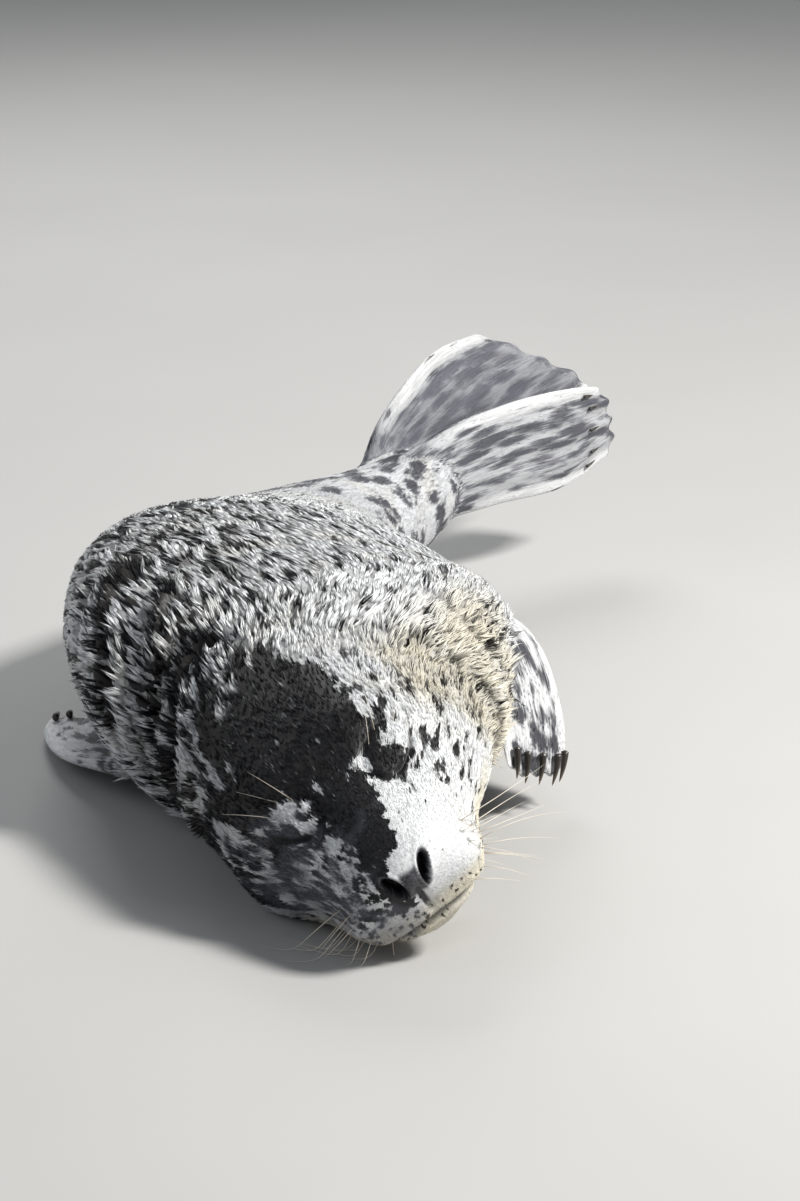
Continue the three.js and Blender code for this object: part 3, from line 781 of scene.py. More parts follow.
    def cream(self, straight: Array, angle: Array) -> Array:
        """Cream on the left of the neck, the throat, the chin and, faintly, the belly."""
        degrees, back, up = around(angle), straight[..., 1], straight[..., 2]
        ruff = smooth(58, 18, degrees) * smooth(84, 112, back) * smooth(262, 218, back)
        jaw = smooth(-16, -28, up) * smooth(110, 60, back)
        belly = 0.45 * smooth(205, 235, degrees) * smooth(90, 150, back)
        most = np.maximum.reduce([0.75 * ruff, 0.9 * jaw, belly])
        return np.clip(most + 0.12 * ripple(straight, 30, 9), 0, 1)


# ---------------------------------------------------------------- the coat's lie
@dataclass(frozen=True)
class Lie:
    """How the coat lies: (back, depth, length, width, lift in degrees, cover) along the body.

    Depth is how far the skin lies inside the outline; cover is how far the strands hide it.
    """

    rows: Table = (
        (0, 0.3, 1.2, 0.16, 8, 0.00), (12, 0.5, 1.6, 0.18, 8, 0.05), (40, 0.8, 2.6, 0.22, 9, 0.12),
        (75, 1.2, 3.8, 0.27, 10, 0.28), (110, 1.8, 5.2, 0.33, 12, 0.50), (150, 2.6, 7.0, 0.42, 12, 0.75),
        (190, 3.2, 10, 0.55, 8, 1.0), (240, 3.2, 11, 0.62, 6, 1.0), (300, 3.0, 11, 0.66, 5, 1.0),
        (440, 2.6, 10, 0.66, 5, 1.0), (520, 1.8, 7, 0.55, 4, 0.7), (600, 1.1, 4, 0.42, 4, 0.20),
        (680, 1.0, 3.6, 0.45, 5, 0.15), (715, 0.6, 3, 0.40, 5, 0.10),
    )
    flipper: tuple[float, ...] = (0.7, 3.0, 0.34, 4, 0.05)

    def at(self, back: Array) -> Array:
        """Depth, length, width, lift and cover at each distance back."""
        return read(self.rows, back)

    def ruff(self, straight: Array, angle: Array) -> Array:
        """1 where the coat is long and fluffy: the left of the neck and behind the left cheek."""
        degrees, back = around(angle), straight[..., 1]
        side = smooth(70, 30, degrees) * smooth(-75, -45, degrees)
        return side * smooth(88, 120, back) * smooth(262, 225, back)


# ---------------------------------------------------------------- meshes from arrays
def mesh_object(name: str, points: Array, faces: list[Array]) -> Object:
    """A smooth-shaded mesh object at the origin.

    Args:
        name: the piece's name.
        points: places in mm.
        faces: arrays of vertex numbers, one face in each row; each array has its own corner count.

    Returns:
        The object, linked to the scene.
    """
    mesh = bpy.data.meshes.new(name)
    counts = np.concatenate([np.full(len(f), f.shape[1]) for f in faces])
    corners = np.concatenate([f.ravel() for f in faces])
    mesh.vertices.add(len(points))
    mesh.vertices.foreach_set("co", (points * MM).astype(np.float32).ravel())
    mesh.loops.add(len(corners))
    mesh.loops.foreach_set("vertex_index", corners.astype(np.int32))
    mesh.polygons.add(len(counts))
    mesh.polygons.foreach_set("loop_start", (np.cumsum(counts) - counts).astype(np.int32))
    mesh.update(calc_edges=True)
    mesh.validate()
    mesh.shade_smooth()
    made = bpy.data.objects.new(name, mesh)
    bpy.context.scene.collection.objects.link(made)
    return made


def give(mesh: Mesh, name: str, values: Array) -> None:
    """Stores one number or one vector at each vertex, as an attribute of that name."""
    kind, key = ("FLOAT_VECTOR", "vector") if values.ndim == 2 else ("FLOAT", "value")
    made = mesh.attributes.new(name, kind, "POINT")
    made.data.foreach_set(key, values.astype(np.float32).ravel())


def ring_faces(rows: int, columns: int) -> Array:
    """Quads between closed rings of vertices, numbered ring by ring."""
    row, column = np.meshgrid(np.arange(rows - 1), np.arange(columns), indexing="ij")
    here, there = row * columns + column, row * columns + (column + 1) % columns
    return np.stack([here, here + columns, there + columns, there], -1).reshape(-1, 4)


def fan(centre: int, ring: Array, turned: bool) -> Array:
    """Triangles from a centre vertex to a closed ring, turned over or not."""
    after = np.roll(ring, -1)
    pair = (after, ring) if turned else (ring, after)
    return np.stack([np.full(len(ring), centre), *pair], -1)


def closed_tube(rows: int, columns: int) -> list[Array]:
    """The faces of rings closed by a vertex at each end; the two are numbered after the rings."""
    total, ring = rows * columns, np.arange(columns)
    caps = fan(total, ring, False), fan(total + 1, ring + total - columns, True)
    return [ring_faces(rows, columns), *caps]


def turned_out(points: Array, faces: list[Array]) -> list[Array]:
    """The faces, turned over if the closed surface they make has a negative volume."""
    fans = [f[:, [0, k, k + 1]] for f in faces for k in range(1, f.shape[1] - 1)]
    triangles = np.concatenate(fans)
    a, b, c = (points[triangles[:, k]] for k in range(3))
    volume = float(np.sum(np.cross(a, b) * c))
    return faces if volume > 0 else [f[:, ::-1] for f in faces]


Fields = dict[str, Array]
HAIR = ("length", "width", "lift", "cover")


def flattened(fields: Fields, ends: tuple[int, ...]) -> Fields:
    """Each field as rows, one for each vertex, and then again the rows of the given ends."""
    rows = {name: value.reshape(-1, *value.shape[2:]) for name, value in fields.items()}
    return {name: np.concatenate([value, value[list(ends)]]) for name, value in rows.items()}


def filled(fields: dict[str, Array | float], hair: Array, like: Array) -> Fields:
    """Fields of one shape: those given, the coat's own from its row of the lie, and 0 for the rest.

    Args:
        fields: what is known, as arrays or as one number for all the vertices.
        hair: the row of the lie, or an array of rows.
        like: an array with a number at each vertex.

    Returns:
        All the fields of the skin.
    """
    rest = dict.fromkeys(("line", "bare", "ruff", "hole", "fine"), 0.0)
    coat = {name: hair[..., k + 1] for k, name in enumerate(HAIR)}
    known = rest | coat | fields
    return {name: value + np.zeros_like(like) if np.ndim(value) < 3 else value
            for name, value in known.items()}


@dataclass
class Shell:
    """A closed surface with what it knows at each vertex."""

    points: Array
    faces: list[Array]
    fields: Fields


# ---------------------------------------------------------------- the skin
@dataclass
class Skin:
    """The one skin of the animal: body, flippers and tail joined, with all its folds."""

    form: BodyForm
    relief: Relief
    markings: MarkingsAndShade
    lie: Lie
    columns: int = 224
    crowding: float = 0.35
    joint_reach: float = 0.02  # how far from a joint the skin is rounded, in metres
    joint_bell: float = 0.007
    joint_rounds: int = 24
    replaced: tuple[str, ...] = (
        "head", "lower_jaw", "nose", "eye_left", "eye_right", "neck", "chest", "loin", "rump", "tail",
        "hindflipper_left", "hindflipper_right", "foreflipper_left", "foreflipper_right",
    )

    def body_rows(self) -> Array:
        """Distances back of the rings: close on the face, wider behind it."""
        end = self.form.end
        stretches = ((0.05, 6, 17), (6, 90, 96), (90, 170, 52), (170, 700, 148), (700, end, 9))
        rows = [np.linspace(a, b, count, endpoint=False) for a, b, count in stretches]
        return np.concatenate([*rows, [end]])

    def body(self) -> Shell:
        """The body's rings, closed at the nose and the rump.

        Columns are closer over the back: the angle is the turn plus the crowding times its cosine.
        The form is moved along its normal by the relief and forward at the nose.
        """
        turn = 2 * math.pi * np.arange(self.columns) / self.columns
        angle = turn + self.crowding * np.cos(turn)
        back, angle = np.meshgrid(self.body_rows(), angle, indexing="ij")
        hair = self.lie.at(back)
        ruff = self.lie.ruff(np.stack([0 * back, back, 0 * back], -1), angle)
        depth = hair[..., 0] + 1.6 * ruff
        points, straight = self.form.surface(back, angle, depth)
        down = np.gradient(points, axis=0)
        round_ = (np.roll(points, -1, axis=1) - np.roll(points, 1, axis=1)) / 2
        normal = unit(np.cross(round_, down))
        centre, forward, _, _ = self.form.frame(back)
        normal = normal * np.sign(np.sum(dot(normal, points - centre)))
        points = points + normal * self.relief.out(straight, angle)[..., None]
        points = points + forward * self.relief.forward(straight)[..., None]
        points[..., 2] = np.maximum(points[..., 2], FLOOR_CLEARANCE)
        swirl, sway = self.swirl(back)
        along = np.gradient(points, axis=0) / np.gradient(back, axis=0)[..., None]
        pace = 2 * math.pi / self.columns * (1 - self.crowding * np.sin(turn))
        flow = unit(along + round_ / pace[:, None] * sway[..., None])
        finer = 1 + 0.6 * smooth(125, 15, back)
        across = finer * (straight[..., 0] * np.cos(swirl) + straight[..., 2] * np.sin(swirl))
        height = finer * (straight[..., 2] * np.cos(swirl) - straight[..., 0] * np.sin(swirl))
        eyes = [self.relief.eye.lid_line(straight, side) for side in (1, -1)]
        fields = filled({
            "straight": straight, "flow": flow, "turn": np.stack([np.cos(angle), np.sin(angle)], -1),
            "row": back, "zone": 0.0, "ruff": ruff, "fine": smooth(600, 470, back),
            "tone": self.markings.tone(straight, angle), "cream": self.markings.cream(straight, angle),
            "grey": self.markings.grey(straight), "bare": self.relief.nostrils.bare(straight),
            # Painted shade along the lid lines and in the mouth groove.
            "line": np.maximum.reduce([*eyes, self.relief.mouth.shade(straight)]),
            # Painted shade inside the nostrils: the skin there turns near black.
            "hole": smooth(1.0, 5.0, self.relief.nostrils.sink(straight)),
            "lie": np.stack([across, self.unrolled(back), height], -1),
        }, hair, back)
        ends = [points[0].mean(0), points[-1].mean(0)]
        points = np.concatenate([points.reshape(-1, 3), ends])
        return Shell(points, turned_out(points, closed_tube(*back.shape)), flattened(fields, (0, -1)))

    def swirl(self, back: Array) -> tuple[Array, Array]:
        """How far the coat has turned round the body at each distance back, in radians, as a
        smooth step from 150 to 430 mm, and how fast it turns, as that step's slope."""
        total, start, stretch = 0.95, 150, 280
        u = np.clip((back - start) / stretch, 0, 1)
        return total * (3 * u**2 - 2 * u**3), total * 6 * u * (1 - u) / stretch

    def unrolled(self, back: Array) -> Array:
        """Distances back for the pattern, shrunk so that spots are long: to 0.42 of themselves,
        rising smoothly to 0.66 between 500 and 600 mm."""
        start, end, stretch = 500, 600, 100
        u = np.clip((back - start) / stretch, 0, 1)
        return 0.42 * back + 0.24 * (stretch * (u**3 - u**4 / 2) + np.maximum(back - end, 0))

    def blade(self, blade: Blade, zone: int, rows: int = 40, columns: int = 136) -> Shell:
        """A flipper's rings, closed at the root and along the edge of the tip.

        Round a ring the share across is (1 + cos t) / 2 and the side is sin t to the power 0.8.
        Over the last 6% of the length the side falls to 0 as a quarter circle, and the last
        ring's two faces share their vertices. The pattern's scale and the grey are those of a
        hind flipper or a foreflipper; the rim is paler and less grey, a painted highlight on the
        wet edge.

        Args:
            blade: the flipper.
            zone: its number among the skin's zones.
            rows: how many rings.
            columns: how many vertices in a ring.

        Returns:
            The closed surface and its fields.
        """
        t = 2 * math.pi * np.arange(columns) / columns
        along = 1 - (1 - np.linspace(0, 1, rows)) ** 1.3
        along, t = np.meshgrid(along, t, indexing="ij")
        across = 0.5 + 0.5 * np.cos(t)
        quarter = np.sqrt(np.clip(1 - ((along - 0.94) / 0.06) ** 2, 0, 1))
        closing = np.where(along > 0.94, quarter, 1.0)
        side = np.sign(np.sin(t)) * np.abs(np.sin(t)) ** 0.8 * closing
        points = blade.point(along, across, side)
        flow = unit(np.gradient(points, axis=0))
        reach = float(np.linalg.norm(np.diff(np.array(blade.path, float), axis=0), axis=-1).sum())
        hind = blade.name.startswith("hind")
        inner = (0.60 if hind else 0.34) + 0.28 * smooth(0.1, 0.5, -side * blade.outer) * hind
        scale = np.array([2.3, 0.40, 2.3] if hind else [1.3, 0.7, 1.3])
        # Painted highlight: the wet rim of the flipper is paler.
        rim = smooth(0.66, 0.92, np.abs(2 * across - 1)) * smooth(0.1, 0.5, along)
        # Each flipper's places are far from the body's, so that their patterns differ.
        straight = np.stack([(across - 0.5) * 60, 1000 + 300 * zone + along * reach, 8 * side], -1)
        fields = filled({
            "straight": straight, "flow": flow, "turn": np.stack([np.cos(t), np.sin(t)], -1),
            "row": along, "zone": zone, "cream": 0.05, "grey": inner * (1 - 0.8 * rim),
            "tone": 0.53 - 0.34 * rim - 0.10 * smooth(0.35, 0, along), "lie": straight * scale,
        }, np.array(self.lie.flipper), along)
        last = (rows - 1) * columns
        half = np.arange(columns)
        shared = last + np.minimum(half, columns - half) % columns
        number = np.concatenate([np.arange(last), shared])
        quads = number[ring_faces(rows, columns)]
        root = rows * columns
        points = np.concatenate([points.reshape(-1, 3), points[0].mean(0)[None]])
        pinched = quads[:, 1] == quads[:, 2]
        corners = quads[pinched][:, [0, 1, 3]]
        faces = [quads[~pinched], fan(root, np.arange(columns), False)]
        faces += [corners] if len(corners) else []
        return Shell(points, turned_out(points, faces), flattened(fields, (0,)))

    def tail(self, tail: Tail, rows: int = 24, columns: int = 40) -> Shell:
        """The tail's rings: ellipses that taper as the square root of 1 - share cubed."""
        t = 2 * math.pi * np.arange(columns) / columns
        share = 1 - (1 - np.linspace(0, 0.9995, rows)) ** 1.6
        share, t = np.meshgrid(share, t, indexing="ij")
        centre, forward, left, up = self.form.frame(np.array(tail.start))
        taper = np.sqrt(1 - share**3)
        points = centre - forward * (share * tail.length)[..., None]
        points = points + left * (tail.half_wide * taper * np.cos(t))[..., None]
        points = points + up * (tail.half_high * taper * np.sin(t))[..., None]
        straight = np.stack([6 * np.cos(t), tail.start + share * tail.length, 16 * np.sin(t)], -1)
        fields = filled({
            "straight": straight, "flow": -forward + 0 * points,
            "turn": np.stack([np.cos(t), np.sin(t)], -1), "row": share, "zone": len(BLADES) + 1,
            "tone": 0.42, "cream": 0.1, "grey": 0.0, "lie": straight * np.array([1.0, 0.5, 1.0]),
        }, np.array(self.lie.flipper), share)
        ends = [points[0].mean(0), points[-1].mean(0)]
        points = np.concatenate([points.reshape(-1, 3), ends])
        faces = turned_out(points, closed_tube(rows, columns))
        return Shell(points, faces, flattened(fields, (0, -1)))

    def united(self, shells: list[Shell]) -> Object:
        """The shells, the body first, united into one closed surface."""
        others = bpy.data.collections.new("joining")
        bpy.context.scene.collection.children.link(others)
        made = [mesh_object(f"shell_{k}", shell.points, shell.faces) for k, shell in enumerate(shells)]
        for piece in made[1:]:
            bpy.context.scene.collection.objects.unlink(piece)
            others.objects.link(piece)
        union = made[0].modifiers.new("union", "BOOLEAN")
        union.operation, union.operand_type, union.solver = "UNION", "COLLECTION", "MANIFOLD"
        union.collection = others
        bpy.context.view_layer.update()
        ready = made[0].evaluated_get(bpy.context.evaluated_depsgraph_get())
        mesh = bpy.data.meshes.new_from_object(ready)
        mesh.name = "seal_skin"
        mesh.materials.clear()
        mesh.polygons.foreach_set("material_index", np.zeros(len(mesh.polygons), np.int32))
        for piece in made:
            bpy.data.objects.remove(piece)
        bpy.data.collections.remove(others)
        skin = bpy.data.objects.new("seal_skin", mesh)
        bpy.context.scene.collection.objects.link(skin)
        return skin

    def joined(self, shells: list[Shell]) -> tuple[Object, Fields]:
        """The shells as one skin, with their fields carried over.

        A vertex of the union that is where a shell had one takes that one's fields. The fields of
        the others, on the joints, are averaged from their neighbours.

        Args:
            shells: the body first, then what joins it.

        Returns:
            The skin's object and its fields.
        """
        skin = self.united(shells)
        mesh = skin.data
        co = points_of(mesh)
        number, known = matched(np.concatenate([s.points for s in shells]) * MM, co)
        edges = edges_of(mesh)
        full = {}
        for name in shells[0].fields:
            values = np.concatenate([s.fields[name] for s in shells])[number]
            full[name] = np.where(known.reshape(-1, *[1] * (values.ndim - 1)), values, 0.0)
        joint = ~known
        for _ in range(40):
            if known.all():
                break
            count = neighbour_sum(known.astype(float), edges)
            fresh = ~known & (count > 0)
            for value in full.values():
                spread = neighbour_sum(value, edges)
                value[fresh] = (spread[fresh].T / count[fresh]).T
            known = known | fresh
        log.info("skin joined: %d vertices, %d new on the joints", len(co), int(joint.sum()))
        self.soften(mesh, co, edges, joint)
        return skin, full

    def soften(self, mesh: Mesh, co: Array, edges: Array, joint: Array) -> None:
        """Rounds the joints: vertices near them move to their neighbours' mean, again and again,
        by a share that falls off with the distance along the edges as a bell."""
        far = np.where(joint, 0.0, 1.0)
        long = np.linalg.norm(co[edges[:, 0]] - co[edges[:, 1]], axis=-1)
        for _ in range(30):
            for a, b in ((0, 1), (1, 0)):
                reach = far[edges[:, a]] + long
                better = (reach < far[edges[:, b]]) & (reach < self.joint_reach)
                np.minimum.at(far, edges[better, b], reach[better])
        share = bell(far, self.joint_bell)
        count = np.maximum(neighbour_sum(np.ones(len(co)), edges), 1)
        for _ in range(self.joint_rounds):
            mean = neighbour_sum(co, edges) / count[:, None]
            co = co + (0.6 * share)[:, None] * (mean - co)
        co[:, 2] = np.maximum(co[:, 2], FLOOR_CLEARANCE * MM)
        mesh.vertices.foreach_set("co", co.astype(np.float32).ravel())
        mesh.update()

    def build(self) -> tuple[Object, Fields]:
        """Makes, joins, names and dresses the skin."""
        shells = [self.body(), *(self.blade(b, k + 1) for k, b in enumerate(BLADES)), self.tail(Tail())]
        skin, fields = self.joined(shells)
        skin.data.shade_smooth()
        for name in ("tone", "cream", "grey", "line", "bare", "cover", "hole", "fine"):
            give(skin.data, name, fields[name])
        give(skin.data, "lie", fields["lie"] * MM)
        fields["dots"] = Whiskers().dots(fields["straight"], 1.45)
        fields["bend"] = self.bend(skin.data, fields["flow"])
        give(skin.data, "dots", fields["dots"])
        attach(skin, "root")
        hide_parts(*self.replaced)
        return skin, fields

    def bend(self, mesh: Mesh, flow: Array) -> Array:
        """How the skin bends along the coat's flow, per mm: above 0 where it rises ahead.

        A neighbour at distance d that stands h above the vertex's tangent plane gives 2 h / d
        squared. The neighbours are weighed by the cosine to the flow to the power 4, and the
        result is averaged with its own neighbours three times.
        """
        co, normals, edges = points_of(mesh) / MM, points_of(mesh, "normal"), edges_of(mesh)
        total, weight = np.zeros(len(co)), np.full(len(co), 1e-6)
        for a, b in ((0, 1), (1, 0)):
            here = edges[:, a]
            step = co[edges[:, b]] - co[here]
            far = np.maximum(np.linalg.norm(step, axis=-1), 0.01)
            ahead = np.maximum(np.sum(step * flow[here], -1) / far, 0) ** 4
            total += np.bincount(here, ahead * 2 * np.sum(step * normals[here], -1) / far**2, len(co))
            weight += np.bincount(here, ahead, len(co))
        value = np.clip(total / weight, -0.2, 0.2)
        count = np.maximum(neighbour_sum(np.ones(len(co)), edges), 1)
        for _ in range(3):
            value = 0.5 * value + 0.5 * neighbour_sum(value, edges) / count
        return np.clip(value, -0.03, 0.08)


def points_of(mesh: Mesh, what: str = "co") -> Array:
    """The places of a mesh's vertices, in metres, or their normals."""
    values = np.zeros(len(mesh.vertices) * 3, np.float32)
    mesh.vertices.foreach_get(what, values)
    return values.reshape(-1, 3).astype(float)


def matched(known: Array, places: Array) -> tuple[Array, Array]:
    """Finds each place among the known ones, to the nearest thousandth of a millimetre.

    Args:
        known: the places to look among, in metres.
        places: the places to find, in metres.

    Returns:
        The number of the known place for each, and whether there was one.
    """
    step = np.array([1, 1 << 20, 1 << 40], np.int64)
    thousandths = (np.round(p.astype(np.float32).astype(float) * 1e6) for p in (known, places))
    code, sought = (np.sum((t.astype(np.int64) + (1 << 19)) * step, axis=-1) for t in thousandths)
    order = np.argsort(code, kind="stable")
    at = order[np.clip(np.searchsorted(code[order], sought), 0, len(code) - 1)]
    return at, code[at] == sought


def edges_of(mesh: Mesh) -> Array:
    """The vertex numbers at the two ends of each edge."""
    edges = np.zeros(len(mesh.edges) * 2, np.int32)
    mesh.edges.foreach_get("vertices", edges)
    return edges.reshape(-1, 2)


def neighbour_sum(values: Array, edges: Array) -> Array:
    """For each vertex, the sum of the values at the other ends of its edges."""
    if values.ndim == 1:
        total = np.bincount(edges[:, 0], values[edges[:, 1]], len(values))
        return total + np.bincount(edges[:, 1], values[edges[:, 0]], len(values))
    return np.stack([neighbour_sum(values[:, k], edges) for k in range(values.shape[1])], -1)


# ---------------------------------------------------------------- the coat
class Half(Enum):
    """Which side of the animal a piece of the coat is on."""

    LEFT = "left"
    RIGHT = "right"


@dataclass(frozen=True)
class CoatRegion:
    """A stretch of the coat: its zone (0 the body, 1 to 4 a flipper, 5 the tail), how far back it
    runs, how many strands share a lock, the lock's radius in mm and how thickly it is covered."""

    name: str
    zone: int
    start: float
    stop: float
    strands: int
    radius: float
    cover: float
    slot: str
    half: Half | None = None


@dataclass
class Coat:
    """Solid strands in locks, rooted on the skin and lying along the body."""

    seed: int = SEED
    most: int = 19500  # strands in one piece
    flat: float = 0.36  # a strand's thickness as a share of its width
    corners: int = 7  # vertices in a strand
    clearance: float = 0.15  # the least height of a vertex, in mm
    patch: float = 0.0015  # half the size of a strand's patch on its map

    def regions(self) -> list[CoatRegion]:
        """The coat's pieces, from the face to the tail."""
        body = (
            ("face", 5, 80, 2, 0.35, 0.45, "dark_coat"), ("crown", 80, 168, 4, 0.8, 0.80, "dark_coat"),
            ("neck", 168, 240, 5, 0.8, 1.8, "cream_coat"), ("chest", 240, 345, 5, 0.85, 1.8, "pale_coat"),
            ("loin", 345, 490, 5, 0.85, 1.6, "pale_coat"), ("rump", 490, 712, 3, 0.7, 0.26, "pale_coat"),
        )
        made = [CoatRegion(f"coat_{name}_{half.value}", 0, *rest, half)
                for name, *rest in body for half in Half]
        for k, blade in enumerate(BLADES):
            made.append(CoatRegion(f"coat_{blade.name}", k + 1, 0.02, 0.9, 2, 0.6, 0.12, "flipper_coat"))
        return [*made, CoatRegion("coat_tail", len(BLADES) + 1, 0, 1, 2, 0.6, 0.25, "pale_coat")]

    def chosen(self, region: CoatRegion, fields: Fields, triangles: Array) -> Array:
        """Which triangles of the skin belong to a region and aren't bare, in a hole or a line."""
        names = ("zone", "row", "turn", "hole", "bare", "line", "dots")
        mean = {name: fields[name][triangles].mean(1) for name in names}
        pick = np.abs(mean["zone"] - region.zone) < 0.5
        pick &= (mean["row"] >= region.start) & (mean["row"] < region.stop)
        if region.half is not None:
            pick &= (mean["turn"][:, 0] >= 0) == (region.half is Half.LEFT)
        for name, most in (("bare", 0.3), ("hole", 0.1), ("line", 0.25), ("dots", 0.3)):
            pick &= mean[name] < most
        return pick

    def locks(
        self, region: CoatRegion, mesh: Mesh, fields: Fields, random: np.random.Generator
    ) -> Fields:
        """The middles of the locks, spread over the skin by area.

        A triangle's weight is its area times the region's cover over 0.6 times the area of a
        strand. Triangles near the floor that face down have none. The flow swings from side to
        side by a few ripples, more in the ruff.

        Args:
            region: the stretch of coat.
            mesh: the skin.
            fields: what the skin knows at its vertices.
            random: where the random numbers come from.

        Returns:
            The skin's fields at each lock, with its root, normal and side and how far it has grown.
        """
        mesh.calc_loop_triangles()
        triangles = np.zeros(len(mesh.loop_triangles) * 3, np.int32)
        mesh.loop_triangles.foreach_get("vertices", triangles)
        triangles = triangles.reshape(-1, 3)
        corner = points_of(mesh)[triangles] / MM
        cross = np.cross(corner[:, 1] - corner[:, 0], corner[:, 2] - corner[:, 0])
        area = np.linalg.norm(cross, axis=-1) / 2
        low = (corner[..., 2].max(1) < 2.2) & (cross[:, 2] < 0)
        pick = self.chosen(region, fields, triangles) & ~low
        length, width = (fields[name][triangles].mean(1) for name in ("length", "width"))
        weight = np.where(pick, area * region.cover / (0.6 * length * width), 0)
        total = min(int(weight.sum()), self.most)
        count = max(total // region.strands, 1)
        face = random.choice(len(triangles), count, p=weight / weight.sum())
        a, b = random.random((2, count))
        a, b = np.where(a + b > 1, 1 - a, a), np.where(a + b > 1, 1 - b, b)
        share = np.stack([1 - a - b, a, b], -1)
        at = {name: np.einsum("ij,ij...->i...", share, value[triangles[face]])
              for name, value in (fields | {"normal": points_of(mesh, "normal")}).items()}
        root, normal = np.einsum("ij,ijk->ik", share, corner[face]), unit(at["normal"])
        flow = unit(at["flow"] - normal * dot(at["flow"], normal))
        side, ruff = np.cross(normal, flow), at["ruff"]
        swing = 0.16 * ripple(root, 26, 21) + 0.10 * ripple(root, 9, 22) + random.normal(0, 0.05, count)
        swing = (swing + 0.3 * ruff * ripple(root, 13, 23)) * (1 - 0.3 * ruff)
        flow = flow * np.cos(swing)[:, None] + side * np.sin(swing)[:, None]
        grown = random.uniform(0.75, 1.25, count) * (1 + 0.35 * ruff)
        side = np.cross(normal, flow)
        return at | {"root": root, "normal": normal, "flow": flow, "side": side, "grown": grown}

    def places(self, region: CoatRegion, at: Fields, random: np.random.Generator) -> Array:
        """The seven vertices of each strand, in mm.

        A strand's root is within the lock's radius of its middle, under the skin. It rises by its
        length times the sine of its lift, and by its arch: the bend of the skin under it times its
        length squared. Its tip leans to the lock's middle by 0.75 of its own distance from it. No
        vertex is below the floor.

        Args:
            region: the stretch of coat.
            at: the fields of each strand's lock.
            random: where the random numbers come from.

        Returns:
            An array of strands, vertices and coordinates.
        """
        count = len(at["root"])
        root, normal, flow, side = (at[name] for name in ("root", "normal", "flow", "side"))
        spread = region.radius * np.sqrt(random.random(count))
        turn = random.uniform(0, 2 * math.pi, count)
        u, v = spread * np.cos(turn), spread * np.sin(turn)
        long = at["length"] * at["grown"] * random.uniform(0.8, 1.15, count)
        wide = at["width"] * random.uniform(0.75, 1.2, count)
        lift = np.radians(at["lift"] * random.uniform(0.5, 1.5, count) * (1 + 0.5 * at["ruff"]))
        bend = random.normal(0, 0.035, count) * long
        deep = 0.25 + 0.12 * wide
        start = root + flow * u[:, None] + side * v[:, None] - normal * deep[:, None]
        rise = long * np.sin(lift)
        arch = at["bend"] * long**2
        arch = np.where(arch > 0, 1.15 * arch, 0.6 * arch)
        half_up, up = 0.25 + 0.62 * rise + 0.16 * arch, 0.15 + rise + 0.5 * arch
        middle = start + flow * (0.5 * long)[:, None] + normal * half_up[:, None]
        middle = middle - side * (0.30 * v - bend)[:, None]
        place = np.zeros((count, self.corners, 3))
        for first, centre, size in ((0, start, 0.85), (3, middle, 1.0)):
            for k, (x, z) in enumerate(((-0.5, 0.0), (0.5, 0.0), (0.0, self.flat))):
                out = side * (x * size * wide)[:, None]
                place[:, first + k] = centre + out + normal * (z * size * wide)[:, None]
        place[:, 6] = start + flow * long[:, None] + normal * up[:, None] - side * (0.75 * v)[:, None]
        place[..., 2] = np.maximum(place[..., 2], self.clearance)
        return place

    def strands(self, region: CoatRegion, mesh: Mesh, fields: Fields) -> Object:
        """One piece of the coat.

        The strands of a lock start within its radius and lean to its middle, so that it ends in a
        point. Each strand is a flat three-sided spike: a ring at the root, one half way, the tip.

        Args:
            region: the stretch of coat.
            mesh: the skin.
            fields: what the skin knows at its vertices.

        Returns:
            The piece.
        """
        random = np.random.default_rng(self.seed + sum(map(ord, region.name)))
        locks = self.locks(region, mesh, fields, random)
        count = len(locks["root"])
        repeat = np.repeat(np.arange(count), region.strands)
        at = {name: value[repeat] for name, value in locks.items()}
        place = self.places(region, at, random)
        pattern = np.array([[0, 1, 4], [0, 4, 3], [1, 2, 5], [1, 5, 4], [2, 0, 3], [2, 3, 5],
                            [3, 4, 6], [4, 5, 6], [5, 3, 6], [0, 2, 1]])
        first = np.arange(len(repeat)) * self.corners
        faces = (first[:, None, None] + pattern).reshape(-1, 3)
        piece = mesh_object(region.name, place.reshape(-1, 3), [faces])
        grain = 0.55 * random.random(count)[repeat] + 0.45 * random.random(len(repeat))
        kept = {name: at[name] for name in ("tone", "cream", "grey", "cover", "fine")}
        for name, value in {"lie": at["lie"] * MM, **kept, "grain": grain}.items():
            give(piece.data, name, np.repeat(value, self.corners, axis=0))
        give(piece.data, "tip", np.tile(np.array([0, 0, 0, 0.6, 0.6, 0.6, 1.0]), len(repeat)))
        self.unwrap(piece.data, region, at)
        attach(piece, "root")
        return piece

    def unwrap(self, mesh: Mesh, region: CoatRegion, at: Fields) -> None:
        """Gives each strand a small patch at its root's place on the skin unrolled: the turn
        round the body across the map and the distance back up it."""
        turn = np.degrees(np.arctan2(at["turn"][:, 1], at["turn"][:, 0]))
        span = 180 if region.half is not None else 360
        first = {Half.LEFT: -90, Half.RIGHT: 90, None: 0}[region.half]
        u = ((turn - first) % 360) / span
        v = (at["row"] - region.start) / (region.stop - region.start)
        root = np.clip(np.stack([u, v], -1), 0, 1) * 0.99 + 0.005
        spot = np.array([[-1, -1], [1, -1], [0, -1], [-1, 0.4], [1, 0.4], [0, 0.4], [0, 1]])
        uv = (root[:, None] + spot * self.patch).reshape(-1, 2)
        loops = np.zeros(len(mesh.loops), np.int32)
        mesh.loops.foreach_get("vertex_index", loops)
        layer = mesh.uv_layers.new(name="OFBake")
        layer.data.foreach_set("uv", uv[loops].astype(np.float32).ravel())

    def build(self, skin: Object, fields: Fields) -> list[Object]:
        """Makes every piece of the coat."""
        return [self.strands(region, skin.data, fields) for region in self.regions()]


